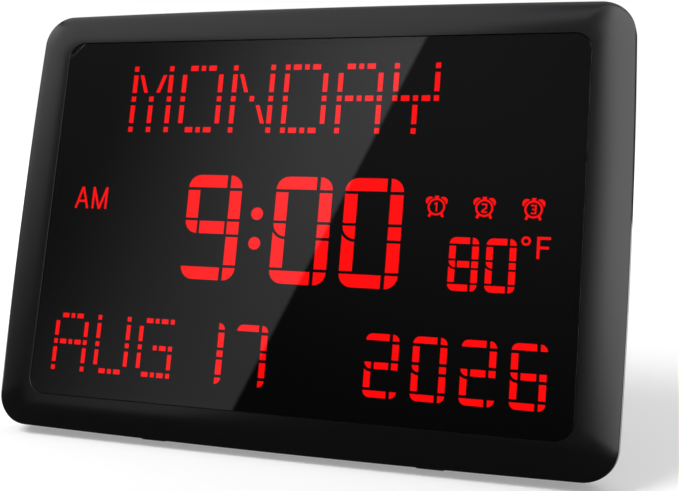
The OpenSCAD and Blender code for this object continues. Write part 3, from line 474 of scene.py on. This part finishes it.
def revolve(bm: BMesh, place: Matrix, profile: Sequence[Point2]) -> None:
    """Turns a profile about the depth axis of a place.

    Args:
        bm: The mesh to add to.
        place: World matrix; its second axis is the axis of the turn.
        profile: Points (radius, depth) from one end to the other, the first and last on the axis.
    """
    ends = [bm.verts.new(place @ Vector((0, profile[i][1], 0))) for i in (0, -1)]
    rows = []
    for radius, depth in profile[1:-1]:
        ring = []
        for i in range(TURN_STEPS):
            a = math.tau * i / TURN_STEPS
            spot = Vector((radius * math.cos(a), depth, radius * math.sin(a)))
            ring.append(bm.verts.new(place @ spot))
        rows.append(ring)
    for i in range(TURN_STEPS):
        k = (i + 1) % TURN_STEPS
        bm.faces.new((ends[0], rows[0][k], rows[0][i]))
        bm.faces.new((ends[1], rows[-1][i], rows[-1][k]))
        for a, b in zip(rows, rows[1:]):
            bm.faces.new((a[i], a[k], b[k], b[i]))


def dress_node(name: str, finish: SurfaceFinish, edge: float = 0.0,
               crease: float = SHARP_DEGREES) -> None:
    """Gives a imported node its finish, welds its faces and rounds its edges.

    Args:
        name: The node.
        finish: Its surface.
        edge: Radius of the rounded edges, or 0 to keep them sharp.
        crease: Edges sharper than this angle in degrees are rounded.
    """
    node = NODES[name]
    node.data.materials.clear()
    node.data.materials.append(made_once(finish.name, finish.link_nodes))
    weld = node.modifiers.new("weld", "WELD")
    weld.merge_threshold = WELD_GAP
    if edge > 0:
        bevel = node.modifiers.new("edge", "BEVEL")
        bevel.width = edge
        bevel.segments = EDGE_STEPS
        bevel.limit_method = "ANGLE"
        bevel.angle_limit = math.radians(crease)
        bevel.harden_normals = False
        bevel.use_clamp_overlap = True
    LOG.info("dressed %s as %s", name, finish.name)


def fit_piece(piece: bpy.types.Object, finish: SurfaceFinish, body: str, replaced: str) -> None:
    """Gives a made piece its finish and its body, and hides the node it stands for.

    Args:
        piece: The object.
        finish: Its surface.
        body: The body it rides on.
        replaced: The node that it stands for.
    """
    piece.data.materials.append(made_once(finish.name, finish.link_nodes))
    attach(piece, body)
    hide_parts(replaced)
    LOG.info("made %s on %s", piece.name, body)


# --- the case ---


@dataclass
class Outline:
    """A rounded rectangle whose sides may bow outwards, centred on the face.

    Attributes:
        half_w: Half the width at the middle.
        half_h: Half the height at the middle.
        radius: Corner radius.
        bow_x: How far the left and right sides bow.
        bow_z: How far the top and bottom bow.
        corner_share: Share of an inset by which the corner radius shrinks.
        least_radius: Smallest corner radius that an inset leaves.
    """

    half_w: float
    half_h: float
    radius: float
    bow_x: float = 0.0
    bow_z: float = 0.0
    corner_share: float = 0.8
    least_radius: float = 2 * MM

    def shrunk(self, inset: float) -> "Outline":
        """Returns the outline moved inwards, or outwards where the inset is negative.

        Args:
            inset: Distance.
        """
        radius = max(self.radius - inset * self.corner_share, self.least_radius)
        return Outline(self.half_w - inset, self.half_h - inset, radius, self.bow_x, self.bow_z)

    def grown(self, extra: float) -> "Outline":
        """Returns the outline moved outwards with true corner arcs.

        Args:
            extra: Distance, negative to move inwards.
        """
        radius = self.radius + extra
        return Outline(self.half_w + extra, self.half_h + extra, radius, self.bow_x, self.bow_z)

    def points(self, corner_steps: int = 20, side_steps: int = 24) -> list[Point2]:
        """Returns the outline's points in a fixed order.

        Args:
            corner_steps: Steps in each corner arc.
            side_steps: Steps along each side.
        """
        cx = self.half_w - self.bow_x - self.radius
        cz = self.half_h - self.bow_z - self.radius
        found: list[Point2] = []
        for quarter, (sx, sz) in enumerate(((1, 1), (-1, 1), (-1, -1), (1, -1))):
            for k in range(corner_steps + 1):
                a = math.pi / 2 * (quarter + k / corner_steps)
                found.append((sx * cx + self.radius * math.cos(a),
                              sz * cz + self.radius * math.sin(a)))
            for k in range(1, side_steps):
                f = 1 - 2 * k / side_steps
                found.append((
                    (f * cx, self.half_h - self.bow_z * f * f),
                    (-self.half_w + self.bow_x * f * f, f * cz),
                    (-f * cx, -self.half_h + self.bow_z * f * f),
                    (self.half_w - self.bow_x * f * f, -f * cz),
                )[quarter])
        return found


@dataclass
class Case:
    """The moulded border and the rear cover.

    Attributes:
        rim: Outline of the case.
        lens: Outline of the opening for the lens.
        drop: Depth of the outer rim behind the lens edge.
        parting: Depth of the joint between border and cover.
        flare: How far the wall spreads outwards from the rim to the joint.
        wall: Wall thickness.
        ledge: Width of the ledge behind the lens.
        ledge_depth: Depth of that ledge's face.
        inner_depth: Depth of its rear.
        lip: Depth of the edge next to the lens.
        fall: Power that sets how steeply the face falls at the rim.
        rise: Power that sets how the face runs out near the lens.
        steps: Number of steps across the face.
        crowding: Power that crowds those steps towards the rim.
        last_share: Greatest share of the way across that a step of the face has.
        inner_share: Share of the way across at which the inner face starts.
        groove: Depth of the groove at the joint.
        cover_edge: Radius of the rounded edges of the cover and the feet.
        cover_crease: Edges of the cover sharper than this angle in degrees are rounded.
        screw_edge: Radius of the rounded edges of the screws.
    """

    rim: Outline
    lens: Outline
    drop: float = 4.9 * MM
    parting: float = 13 * MM
    flare: float = 0.6 * MM
    wall: float = 2.2 * MM
    ledge: float = 4 * MM
    ledge_depth: float = 2.8 * MM
    inner_depth: float = 4.4 * MM
    lip: float = 0.25 * MM
    fall: float = 1.9
    rise: float = 0.82
    steps: int = 26
    crowding: float = 1.6
    last_share: float = 0.992
    inner_share: float = 0.35
    groove: float = 0.35 * MM
    cover_edge: float = 0.3 * MM
    cover_crease: float = 38.0
    screw_edge: float = 0.12 * MM

    def crown(self, t: float) -> float:
        """Returns the depth of the border's face.

        Args:
            t: 0 at the rim, 1 at the lens.
        """
        return self.drop * (1 - (1 - (1 - t) ** self.fall) ** self.rise)

    def _ring(self, points: Sequence[Point2], depth: float) -> list[Vector]:
        """Returns a ring in world space.

        Args:
            points: Places on the face.
            depth: Their common depth.
        """
        return [FRAME.point(x, depth, FRAME.middle + z) for x, z in points]

    def _between(self, t: float) -> list[Point2]:
        """Returns the outline at a share of the way from the rim to the lens.

        Args:
            t: 0 at the rim, 1 at the lens.
        """
        return [(a[0] * (1 - t) + b[0] * t, a[1] * (1 - t) + b[1] * t)
                for a, b in zip(self.rim.points(), self.lens.points())]

    def build(self) -> None:
        """Builds the border with its crowned face, parting line and inner ledge."""
        wide = self.rim.shrunk(-self.flare)
        sunk = wide.shrunk(self.groove)
        ledge = self.lens.grown(-self.ledge)
        rings = [self._ring(self.lens.points(), self.lip)]
        for k in range(self.steps + 1):
            share = min((1 - k / self.steps) ** self.crowding, self.last_share)
            rings.append(self._ring(self._between(share), self.crown(share)))
        rings += [
            self._ring(wide.points(), self.parting - 2 * self.groove),
            self._ring(sunk.points(), self.parting - self.groove),
            self._ring(sunk.points(), self.parting),
            self._ring(wide.shrunk(self.wall).points(), self.parting),
            self._ring(self.rim.shrunk(self.wall).points(), self.drop + self.wall),
            self._ring(self._between(self.inner_share), self.inner_depth),
            self._ring(ledge.points(), self.inner_depth),
            self._ring(ledge.points(), self.ledge_depth),
            self._ring(self.lens.points(), self.ledge_depth),
        ]
        bm = bmesh.new()
        loft(bm, rings)
        fit_piece(make_object("border", bm), CASE_BLACK, Body.CASE.value, "front_bezel")

    def dress(self) -> None:
        """Dresses the cover, its screws and its feet."""
        dress_node("rear_cover", COVER_BLACK, self.cover_edge, self.cover_crease)
        dress_node("cover_screws", STEEL, self.screw_edge)
        dress_node("rubber_feet", RUBBER_BLACK, self.cover_edge)


@dataclass
class Face:
    """The lens, its tape and everything seen through it.

    Attributes:
        lens_edge: Radius of the lens's rounded edge.
        lit: Nodes of lit resin caps.
    """

    lens_edge: float = 0.3 * MM
    lit: tuple[str, ...] = (
        "weekday_segments", "time_segments", "month_segments", "day_segments", "year_segments",
        "temperature_segments", "am_marker", "degree_marker", "alarm_markers")

    def dress(self) -> None:
        """Dresses the lens, its tape, the reflector and the segments."""
        dress_node("lens", LENS_SMOKE, self.lens_edge)
        dress_node("lens_tape", TAPE_BLACK)
        dress_node("reflector", MASK_BLACK)
        dress_node("spare_segments", SEGMENT_DARK)
        for name in self.lit:
            dress_node(name, SEGMENT_LIT)


@dataclass
class Electronics:
    """The boards and what is soldered to them.

    Attributes:
        finishes: The finish of each node.
    """

    finishes: dict[str, SurfaceFinish]

    def dress(self) -> None:
        """Dresses every electronic piece."""
        for name, finish in self.finishes.items():
            dress_node(name, finish)


@dataclass
class Buttons:
    """Five keys with dished tops on the rear panel.

    Attributes:
        nodes: Node and body of each key, from left to right as seen from the front.
        middle: Place of the middle key across.
        height: Height of the row.
        pitch: Distance between keys.
        radius: Radius of a key.
        flange: Radius of the flange behind the panel.
        flange_top: Depth of the flange's rear face.
        flange_t: Thickness of the flange.
        stem: Radius of the stem that meets the switch.
        stem_l: Length of the stem.
        top: Depth of the key's rim.
        dish: How deep the top is hollowed.
        edge: Radius of the rounded edge round the top.
        land: Width of the flat ring between that edge and the hollow.
        chamfer: Size of the chamfer at the stem's end.
        edge_steps: Number of steps in the rounded edge.
        dish_steps: Number of steps across the hollow.
    """

    nodes: tuple[tuple[str, Body], ...] = (
        ("button_set", Body.SET_BUTTON), ("button_up", Body.UP_BUTTON),
        ("button_down", Body.DOWN_BUTTON), ("button_alarm", Body.ALARM_BUTTON),
        ("button_dimmer", Body.DIMMER_BUTTON))
    middle: float = -90 * MM
    height: float = 150 * MM
    pitch: float = 17 * MM
    radius: float = 4.5 * MM
    flange: float = 5.7 * MM
    flange_top: float = 23.7 * MM
    flange_t: float = 1.0 * MM
    stem: float = 1.7 * MM
    stem_l: float = 1.0 * MM
    top: float = 27.0 * MM
    dish: float = 0.45 * MM
    edge: float = 0.5 * MM
    land: float = 0.35 * MM
    chamfer: float = 0.2 * MM
    edge_steps: int = 6
    dish_steps: int = 8

    def build(self) -> None:
        """Builds each key as one turned piece."""
        middle_index = len(self.nodes) // 2
        for index, (node, body) in enumerate(self.nodes):
            across = self.middle + (index - middle_index) * self.pitch
            bm = bmesh.new()
            revolve(bm, FRAME.matrix(across, 0, self.height), self._profile())
            fit_piece(make_object(f"key_{index + 1}", bm), BUTTON_GREY, body.value, node)

    def _profile(self) -> list[Point2]:
        """Returns the key's profile from the stem's end to the dished top."""
        foot = self.flange_top - self.flange_t
        tip = foot - self.stem_l
        profile = [(0.0, tip), (self.stem - self.chamfer, tip), (self.stem, tip + self.chamfer),
                   (self.stem, foot), (self.flange, foot), (self.flange, self.flange_top),
                   (self.radius, self.flange_top)]
        for k in range(self.edge_steps + 1):
            a = math.pi / 2 * k / self.edge_steps
            profile.append((self.radius - self.edge * (1 - math.cos(a)),
                            self.top - self.edge * (1 - math.sin(a))))
        hollow = self.radius - self.edge - self.land
        for k in range(1, self.dish_steps):
            f = 1 - k / self.dish_steps
            profile.append((hollow * f, self.top - self.dish * (1 - f * f)))
        profile.append((0.0, self.top - self.dish))
        return profile


@dataclass
class Stand:
    """The folding leg with its pin and shoe.

    Attributes:
        edge: Radius of the leg's rounded edges.
    """

    edge: float = 0.5 * MM

    def dress(self) -> None:
        """Dresses the stand's pieces."""
        dress_node("stand_leg", COVER_BLACK, self.edge)
        dress_node("stand_shoe", RUBBER_BLACK, self.edge)
        dress_node("stand_pin", STEEL)


@dataclass
class BatteryBay:
    """The coin cell, its contacts and the lid over them.

    Attributes:
        edge: Radius of the lid's rounded edges.
        cell_edge: Radius of the cell's rounded edges.
    """

    edge: float = 0.25 * MM
    cell_edge: float = 0.3 * MM

    def dress(self) -> None:
        """Dresses the bay's pieces."""
        dress_node("battery_door", COVER_BLACK, self.edge)
        dress_node("coin_cell", STEEL, self.cell_edge)
        dress_node("battery_contacts", BRASS)


@dataclass
class DayClock:
    """The whole clock, put together from its sub-assemblies.

    Attributes:
        case: The border and the cover.
        face: What shows through the border, from the lens to the segments.
        electronics: The boards and their parts.
        buttons: The keys.
        stand: The folding leg.
        battery: The battery bay.
    """

    case: Case
    face: Face
    electronics: Electronics
    buttons: Buttons
    stand: Stand
    battery: BatteryBay

    @classmethod
    def standard(cls) -> "DayClock":
        """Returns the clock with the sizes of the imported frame."""
        lens_gap = 0.25 * MM
        rim = Outline(half_w=165 * MM, half_h=FRAME.middle, radius=17 * MM,
                      bow_x=1.4 * MM, bow_z=1.2 * MM)
        opening = Outline(half_w=143.5 * MM, half_h=98 * MM, radius=9 * MM).grown(lens_gap)
        finishes = {
            "lamp_board": BOARD_GREEN, "key_board": BOARD_GREEN, "lamps": LAMP_CREAM,
            "lamp_drivers": CHIP_BLACK, "clock_chip": CHIP_BLACK, "voltage_regulator": CHIP_BLACK,
            "buzzer": CHIP_BLACK, "crystal": STEEL, "capacitors": CAPACITOR_BLUE,
            "light_sensor": SENSOR_GREY, "temperature_sensor": SENSOR_GREY, "power_socket": STEEL,
            "board_screws": STEEL, "key_screws": STEEL, "key_switches": SWITCH_GREY,
            "key_cable": CABLE_WHITE,
        }
        return cls(Case(rim, opening), Face(), Electronics(finishes), Buttons(), Stand(), BatteryBay())

    def build(self) -> None:
        """Builds and dresses every sub-assembly."""
        self.case.build()
        self.case.dress()
        self.face.dress()
        self.electronics.dress()
        self.buttons.build()
        self.stand.dress()
        self.battery.dress()


# --- the studio ---


def link_value(tree: Tree, operation: str, *operands: float | Socket) -> Socket:
    """Adds a math node and returns its result.

    Args:
        tree: The nodes to add to.
        operation: The math node's operation.
        operands: Numbers or sockets, in order.
    """
    node = tree.nodes.new("ShaderNodeMath")
    node.operation = operation
    for index, operand in enumerate(operands):
        if isinstance(operand, Socket):
            tree.links.new(operand, node.inputs[index])
        else:
            node.inputs[index].default_value = operand
    return node.outputs[0]


def link_blend(tree: Tree, factor: Socket, low: float, high: float) -> Socket:
    """Returns low where the factor is 0 or less and high where it is 1 or more, smoothly between.

    Args:
        tree: The nodes to add to.
        factor: The factor's socket.
        low: Value at 0.
        high: Value at 1.
    """
    span = tree.nodes.new("ShaderNodeMapRange")
    span.interpolation_type = "SMOOTHSTEP"
    span.inputs["To Min"].default_value = low
    span.inputs["To Max"].default_value = high
    tree.links.new(factor, span.inputs["Value"])
    return span.outputs["Result"]


def link_seen(tree: Tree) -> Socket:
    """Returns whether a surface is seen, by the camera or in metal, gloss or glass.

    Args:
        tree: The nodes to add to.
    """
    path = tree.nodes.new("ShaderNodeLightPath")
    mirrored = link_value(tree, "MAXIMUM", path.outputs["Is Glossy Ray"],
                          path.outputs["Is Transmission Ray"])
    return link_value(tree, "MAXIMUM", path.outputs["Is Camera Ray"], mirrored)


def finish_card(card: bpy.types.Object, link_nodes: Callable[[Tree], None]) -> None:
    """Gives a card its glow and leaves it to be seen in mirrors and glass alone.

    Args:
        card: The card.
        link_nodes: Sets up the glow's nodes.
    """
    card.data.materials.append(made_once(card.name, link_nodes))
    card.visible_camera = False
    card.visible_diffuse = False
    card.visible_shadow = False
    card.visible_volume_scatter = False


def start_glow(tree: Tree) -> tuple[Node, Socket, Socket]:
    """Takes the surface shader out and adds a glow and the place on the sheet.

    Args:
        tree: The material's nodes.

    Returns:
        The glow, the place across and the place up.
    """
    tree.nodes.remove(tree.nodes["Principled BSDF"])
    glow = tree.nodes.new("ShaderNodeEmission")
    place = tree.nodes.new("ShaderNodeTexCoord")
    split = tree.nodes.new("ShaderNodeSeparateXYZ")
    tree.links.new(place.outputs["Object"], split.inputs[0])
    return glow, split.outputs[0], split.outputs[1]


@dataclass
class SheenCard:
    """A large card in front of the face, seen only in reflections.

    Its lit part ends on a straight slanting edge, and that edge is the line across the lens.

    Attributes:
        ahead: Distance in front of the face's middle.
        left: Place of its left side, across from the face's middle.
        right: Place of its right side.
        low: Place of its lower side, up from the face's middle.
        high: Place of its upper side.
        upper: A point of the edge, across and up from the face's middle.
        lower: Another point of the edge.
        softness: Width of the edge's blur.
        lit: Radiance along the edge on its left, at its lower and its upper end.
        lit_reach: Distance over which the lit part fades to the left.
        lit_far: Share of its radiance that is left beyond that.
        dark: Radiance along the edge on its right, at its lower and its upper end.
        dark_reach: Distance over which the dark part fades to the right.
        dark_far: Share of its radiance that is left beyond that.
        tint: Colour of the card's light.
    """

    ahead: float = 0.6
    left: float = -0.7
    right: float = 1.6
    low: float = -0.9
    high: float = 2.6
    upper: Point2 = (-0.0700, 0.3295)
    lower: Point2 = (-0.2691, -0.1211)
    softness: float = 0.006
    lit: Pair = (0.62, 1.12)
    lit_reach: float = 0.35
    lit_far: float = 0.19
    dark: Pair = (0.05, 0.2)
    dark_reach: float = 0.7
    dark_far: float = 0.3
    tint: Colour = (0.97, 0.97, 1.0)

    def build(self) -> bpy.types.Object:
        """Builds the card and returns it."""
        card = make_sheet("sheen_card", (self.left, self.low), (self.right, self.high))
        upright = Matrix.Rotation(-FRAME.lean, 4, "X") @ Matrix.Rotation(math.pi / 2, 4, "X")
        card.matrix_world = Matrix.Translation(FRAME.face_point(0, 0, self.ahead)) @ upright
        finish_card(card, self._link_nodes)
        return card

    def _link_nodes(self, tree: Tree) -> None:
        """Sets up the card's glow.

        Args:
            tree: The material's nodes.
        """
        glow, across, up = start_glow(tree)
        run = Vector(self.upper) - Vector(self.lower)
        length = run.length
        along = run / length
        side = Vector((along.y, -along.x))
        from_x = link_value(tree, "SUBTRACT", across, self.lower[0])
        from_y = link_value(tree, "SUBTRACT", up, self.lower[1])
        right = link_value(tree, "ADD", link_value(tree, "MULTIPLY", from_x, side.x),
                           link_value(tree, "MULTIPLY", from_y, side.y))
        rise = link_value(tree, "DIVIDE",
                          link_value(tree, "ADD", link_value(tree, "MULTIPLY", from_x, along.x),
                                     link_value(tree, "MULTIPLY", from_y, along.y)), length)
        left = link_value(tree, "MULTIPLY", right, -1.0)
        fade = link_blend(tree, link_value(tree, "DIVIDE", left, self.lit_reach), 1.0, self.lit_far)
        lit = link_value(tree, "MULTIPLY", link_blend(tree, rise, *self.lit), fade)
        dim = link_blend(tree, link_value(tree, "DIVIDE", right, self.dark_reach), 1.0, self.dark_far)
        dark = link_value(tree, "MULTIPLY", link_blend(tree, rise, *self.dark), dim)
        across_edge = link_value(tree, "ADD", link_value(tree, "DIVIDE", right, self.softness), 0.5)
        is_right = link_blend(tree, across_edge, 0.0, 1.0)
        lit_part = link_value(tree, "MULTIPLY", lit, link_value(tree, "SUBTRACT", 1.0, is_right))
        dark_part = link_value(tree, "MULTIPLY", dark, is_right)
        tree.links.new(link_value(tree, "ADD", lit_part, dark_part), glow.inputs["Strength"])
        glow.inputs["Color"].default_value = self.tint + (1.0,)
        tree.links.new(glow.outputs[0], tree.nodes["Material Output"].inputs["Surface"])


@dataclass
class GlossPanel:
    """A flat panel, seen only in reflections, that is bright or, as a flag, dark.

    Attributes:
        name: The panel's name.
        middle: Its middle.
        turn: Its turn about X, Y and Z in degrees from lying flat.
        half: Half its width and half its height.
        low: Radiance at its lower end.
        high: Radiance at its upper end.
        soft: Share of each half over which its border fades out.
        spin: Its turn in its own plane, in degrees.
    """

    name: str
    middle: Vector
    turn: tuple[float, float, float]
    half: Pair
    low: float
    high: float
    soft: float = 0.25
    spin: float = 0.0

    def build(self) -> bpy.types.Object:
        """Builds the panel and returns it."""
        panel = make_sheet(self.name, (-self.half[0], -self.half[1]), self.half)
        turn = Euler([math.radians(a) for a in self.turn]).to_matrix().to_4x4()
        spin = Matrix.Rotation(math.radians(self.spin), 4, "Z")
        panel.matrix_world = Matrix.Translation(self.middle) @ turn @ spin
        finish_card(panel, self._link_nodes)
        return panel

    def _border(self, tree: Tree, place: Socket, half: float) -> Socket:
        """Returns how solid the panel is along one of its axes.

        Args:
            tree: The nodes to add to.
            place: Position along the axis.
            half: Half the panel's size along it.
        """
        share = link_value(tree, "DIVIDE", link_value(tree, "ABSOLUTE", place), half)
        inside = link_value(tree, "SUBTRACT", 1.0, share)
        return link_blend(tree, link_value(tree, "DIVIDE", inside, self.soft), 0.0, 1.0)

    def _link_nodes(self, tree: Tree) -> None:
        """Sets up the panel's glow.

        Args:
            tree: The material's nodes.
        """
        glow, across, up = start_glow(tree)
        clear = tree.nodes.new("ShaderNodeBsdfTransparent")
        mix = tree.nodes.new("ShaderNodeMixShader")
        rise = link_value(tree, "ADD", link_value(tree, "DIVIDE", up, 2 * self.half[1]), 0.5)
        tree.links.new(link_blend(tree, rise, self.low, self.high), glow.inputs["Strength"])
        solid = link_value(tree, "MULTIPLY", self._border(tree, across, self.half[0]),
                           self._border(tree, up, self.half[1]))
        tree.links.new(solid, mix.inputs["Fac"])
        tree.links.new(clear.outputs[0], mix.inputs[1])
        tree.links.new(glow.outputs[0], mix.inputs[2])
        tree.links.new(mix.outputs[0], tree.nodes["Material Output"].inputs["Surface"])


# How the panels are turned from lying flat, about X, Y and Z in degrees.
ALONG_FACE = (90 - math.degrees(FRAME.lean), 0, 0)
UPRIGHT = (90, 0, 0)
SIDEWAYS = (90, 0, 90)
FLAT = (0, 0, 0)
PANELS = (
    GlossPanel("right_panel", FRAME.face_point(1.12, 0.72, 0.58), ALONG_FACE, half=(0.84, 1.2),
               low=2.8, high=3.1, soft=0.42, spin=-12),
    GlossPanel("corner_panel", FRAME.face_point(0.69, 0.892, 0.575), ALONG_FACE, half=(0.42, 0.8),
               low=2.8, high=3.0, soft=0.4, spin=-8),
    GlossPanel("low_flag", FRAME.face_point(0.555, -0.6, 0.57), ALONG_FACE, half=(0.7, 0.5),
               low=0.02, high=0.02, soft=0.5, spin=-26),
    GlossPanel("top_panel", FRAME.face_point(-1.06, 1.25, 0.59), ALONG_FACE, half=(1.1, 0.9),
               low=1.0, high=0.8, soft=0.06),
    GlossPanel("left_panel", Vector((-1.35, -0.75, 0.85)), SIDEWAYS, half=(1.1, 0.75),
               low=0.1, high=1.5, soft=0.15, spin=-25),
    GlossPanel("right_flag", Vector((0.8, 1.1, 0.45)), UPRIGHT, half=(0.62, 0.5),
               low=0.02, high=0.02, soft=0.04),
    GlossPanel("left_flag", Vector((-1.45, 0.0, 0.6)), SIDEWAYS, half=(2.0, 0.9),
               low=0.02, high=0.02, soft=0.04),
    GlossPanel("floor_flag", Vector((-0.1, -0.75, 0.002)), FLAT, half=(1.5, 0.76),
               low=0.06, high=0.06, soft=0.04),
)


@dataclass
class Studio:
    """A white floor, two lights and the reflection cards.

    Attributes:
        floor_size: Half of the floor's side.
        floor_colour: The floor's grey.
        floor_roughness: Its roughness.
        floor_glow: What it adds where the camera, gloss or glass sees it, near and far from the clock.
        floor_reach: Distances between which that glow rises.
        aim: The point that both lights face.
        key_power: Power of the main light at the front and left, in watts.
        key_size: Side of the main light.
        key_from: Place of the main light.
        rear_power: Power of the light from the rear, in watts.
        rear_size: Side of that light.
        rear_from: Place of that light.
        world_level: Strength of the light from all sides.
        cards: The reflection cards.
    """

    floor_size: float = 6.0
    floor_colour: float = 0.78
    floor_roughness: float = 0.9
    floor_glow: Pair = (0.30, 0.75)
    floor_reach: Pair = (0.35, 1.6)
    aim: Vector = Vector((0, 0, 0.11))
    key_power: float = 36.0
    key_size: float = 0.9
    key_from: Vector = Vector((-1.1, -1.0, 1.7))
    rear_power: float = 10.0
    rear_size: float = 1.0
    rear_from: Vector = Vector((0.9, 1.6, 1.5))
    world_level: float = 0.42
    cards: tuple[SheenCard | GlossPanel, ...] = (SheenCard(), *PANELS)

    def build(self) -> None:
        """Builds the cards, the floor, the lights and the world."""
        cards = [card.build() for card in self.cards]
        floor = self._floor()
        key = self._area("key_light", self.key_from, self.key_power, self.key_size)
        key.visible_glossy = False
        fill = self._area("rear_light", self.rear_from, self.rear_power, self.rear_size)
        self._world()

    def _area(self, name: str, place: Vector, power: float, size: float) -> bpy.types.Object:
        """Adds a square area light aimed at the clock.

        Args:
            name: The light's name.
            place: Where it stands.
            power: Power in watts.
            size: Its side.
        """
        lamp = bpy.data.lights.new(name, "AREA")
        lamp.energy = power
        lamp.size = size
        light = bpy.data.objects.new(name, lamp)
        light.location = place
        light.rotation_euler = (self.aim - place).to_track_quat("-Z", "Y").to_euler()
        light.visible_camera = False
        bpy.context.scene.collection.objects.link(light)
        return light

    def _floor(self) -> bpy.types.Object:
        """Adds the plain white floor and returns it."""
        size = self.floor_size
        floor = make_sheet("floor", (-size, -size), (size, size))
        floor.data.materials.append(made_once("floor_white", self._link_floor))
        return floor

    def _link_floor(self, tree: Tree) -> None:
        """Sets up the floor's plain white and its glow.

        Args:
            tree: The material's nodes.
        """
        shader = tree.nodes["Principled BSDF"]
        shader.inputs["Base Color"].default_value = (self.floor_colour,) * 3 + (1.0,)
        shader.inputs["Roughness"].default_value = self.floor_roughness
        shader.inputs["Specular IOR Level"].default_value = 0.0
        shader.inputs["Emission Color"].default_value = WHITE
        seen = link_seen(tree)
        place = tree.nodes.new("ShaderNodeTexCoord")
        away = tree.nodes.new("ShaderNodeVectorMath")
        away.operation = "LENGTH"
        tree.links.new(place.outputs["Object"], away.inputs[0])
        near, far = self.floor_reach
        beyond = link_value(tree, "SUBTRACT", away.outputs["Value"], near)
        rise = link_value(tree, "DIVIDE", beyond, far - near)
        glow = link_value(tree, "MULTIPLY", seen, link_blend(tree, rise, *self.floor_glow))
        tree.links.new(glow, shader.inputs["Emission Strength"])

    def _world(self) -> None:
        """Sets a background that is seen as white and gives a dimmer, even light."""
        world = bpy.data.worlds.new("studio")
        bpy.context.scene.world = world
        world.use_nodes = True
        tree = world.node_tree
        back = tree.nodes["Background"]
        strength = link_blend(tree, link_seen(tree), self.world_level, 1.0)
        tree.links.new(strength, back.inputs["Strength"])
        back.inputs["Color"].default_value = WHITE


@dataclass
class Viewpoint:
    """The photograph's camera.

    Attributes:
        place: Where it stands.
        look: The direction it looks in.
        focal_mm: Focal length.
        sensor_mm: Width of the sensor.
    """

    place: Vector = Vector((0.1646, -0.4832, 0.1744))
    look: Vector = Vector((-0.28454, 0.94889, -0.13652))
    focal_mm: float = 51.78
    sensor_mm: float = 36.0

    def build(self) -> None:
        """Adds the camera and makes it the scene's."""
        data = bpy.data.cameras.new("camera")
        data.lens = self.focal_mm
        data.sensor_width = self.sensor_mm
        camera = bpy.data.objects.new("camera", data)
        camera.location = self.place
        camera.rotation_euler = self.look.to_track_quat("-Z", "Y").to_euler()
        bpy.context.scene.collection.objects.link(camera)
        bpy.context.scene.camera = camera


def main() -> None:
    """Builds the clock, the studio and the camera."""
    logging.basicConfig(level=logging.INFO, format="%(name)s: %(message)s")
    DayClock.standard().build()
    Studio().build()
    Viewpoint().build()
    bpy.context.scene.view_settings.view_transform = "Standard"


if __name__ == "__main__":
    main()
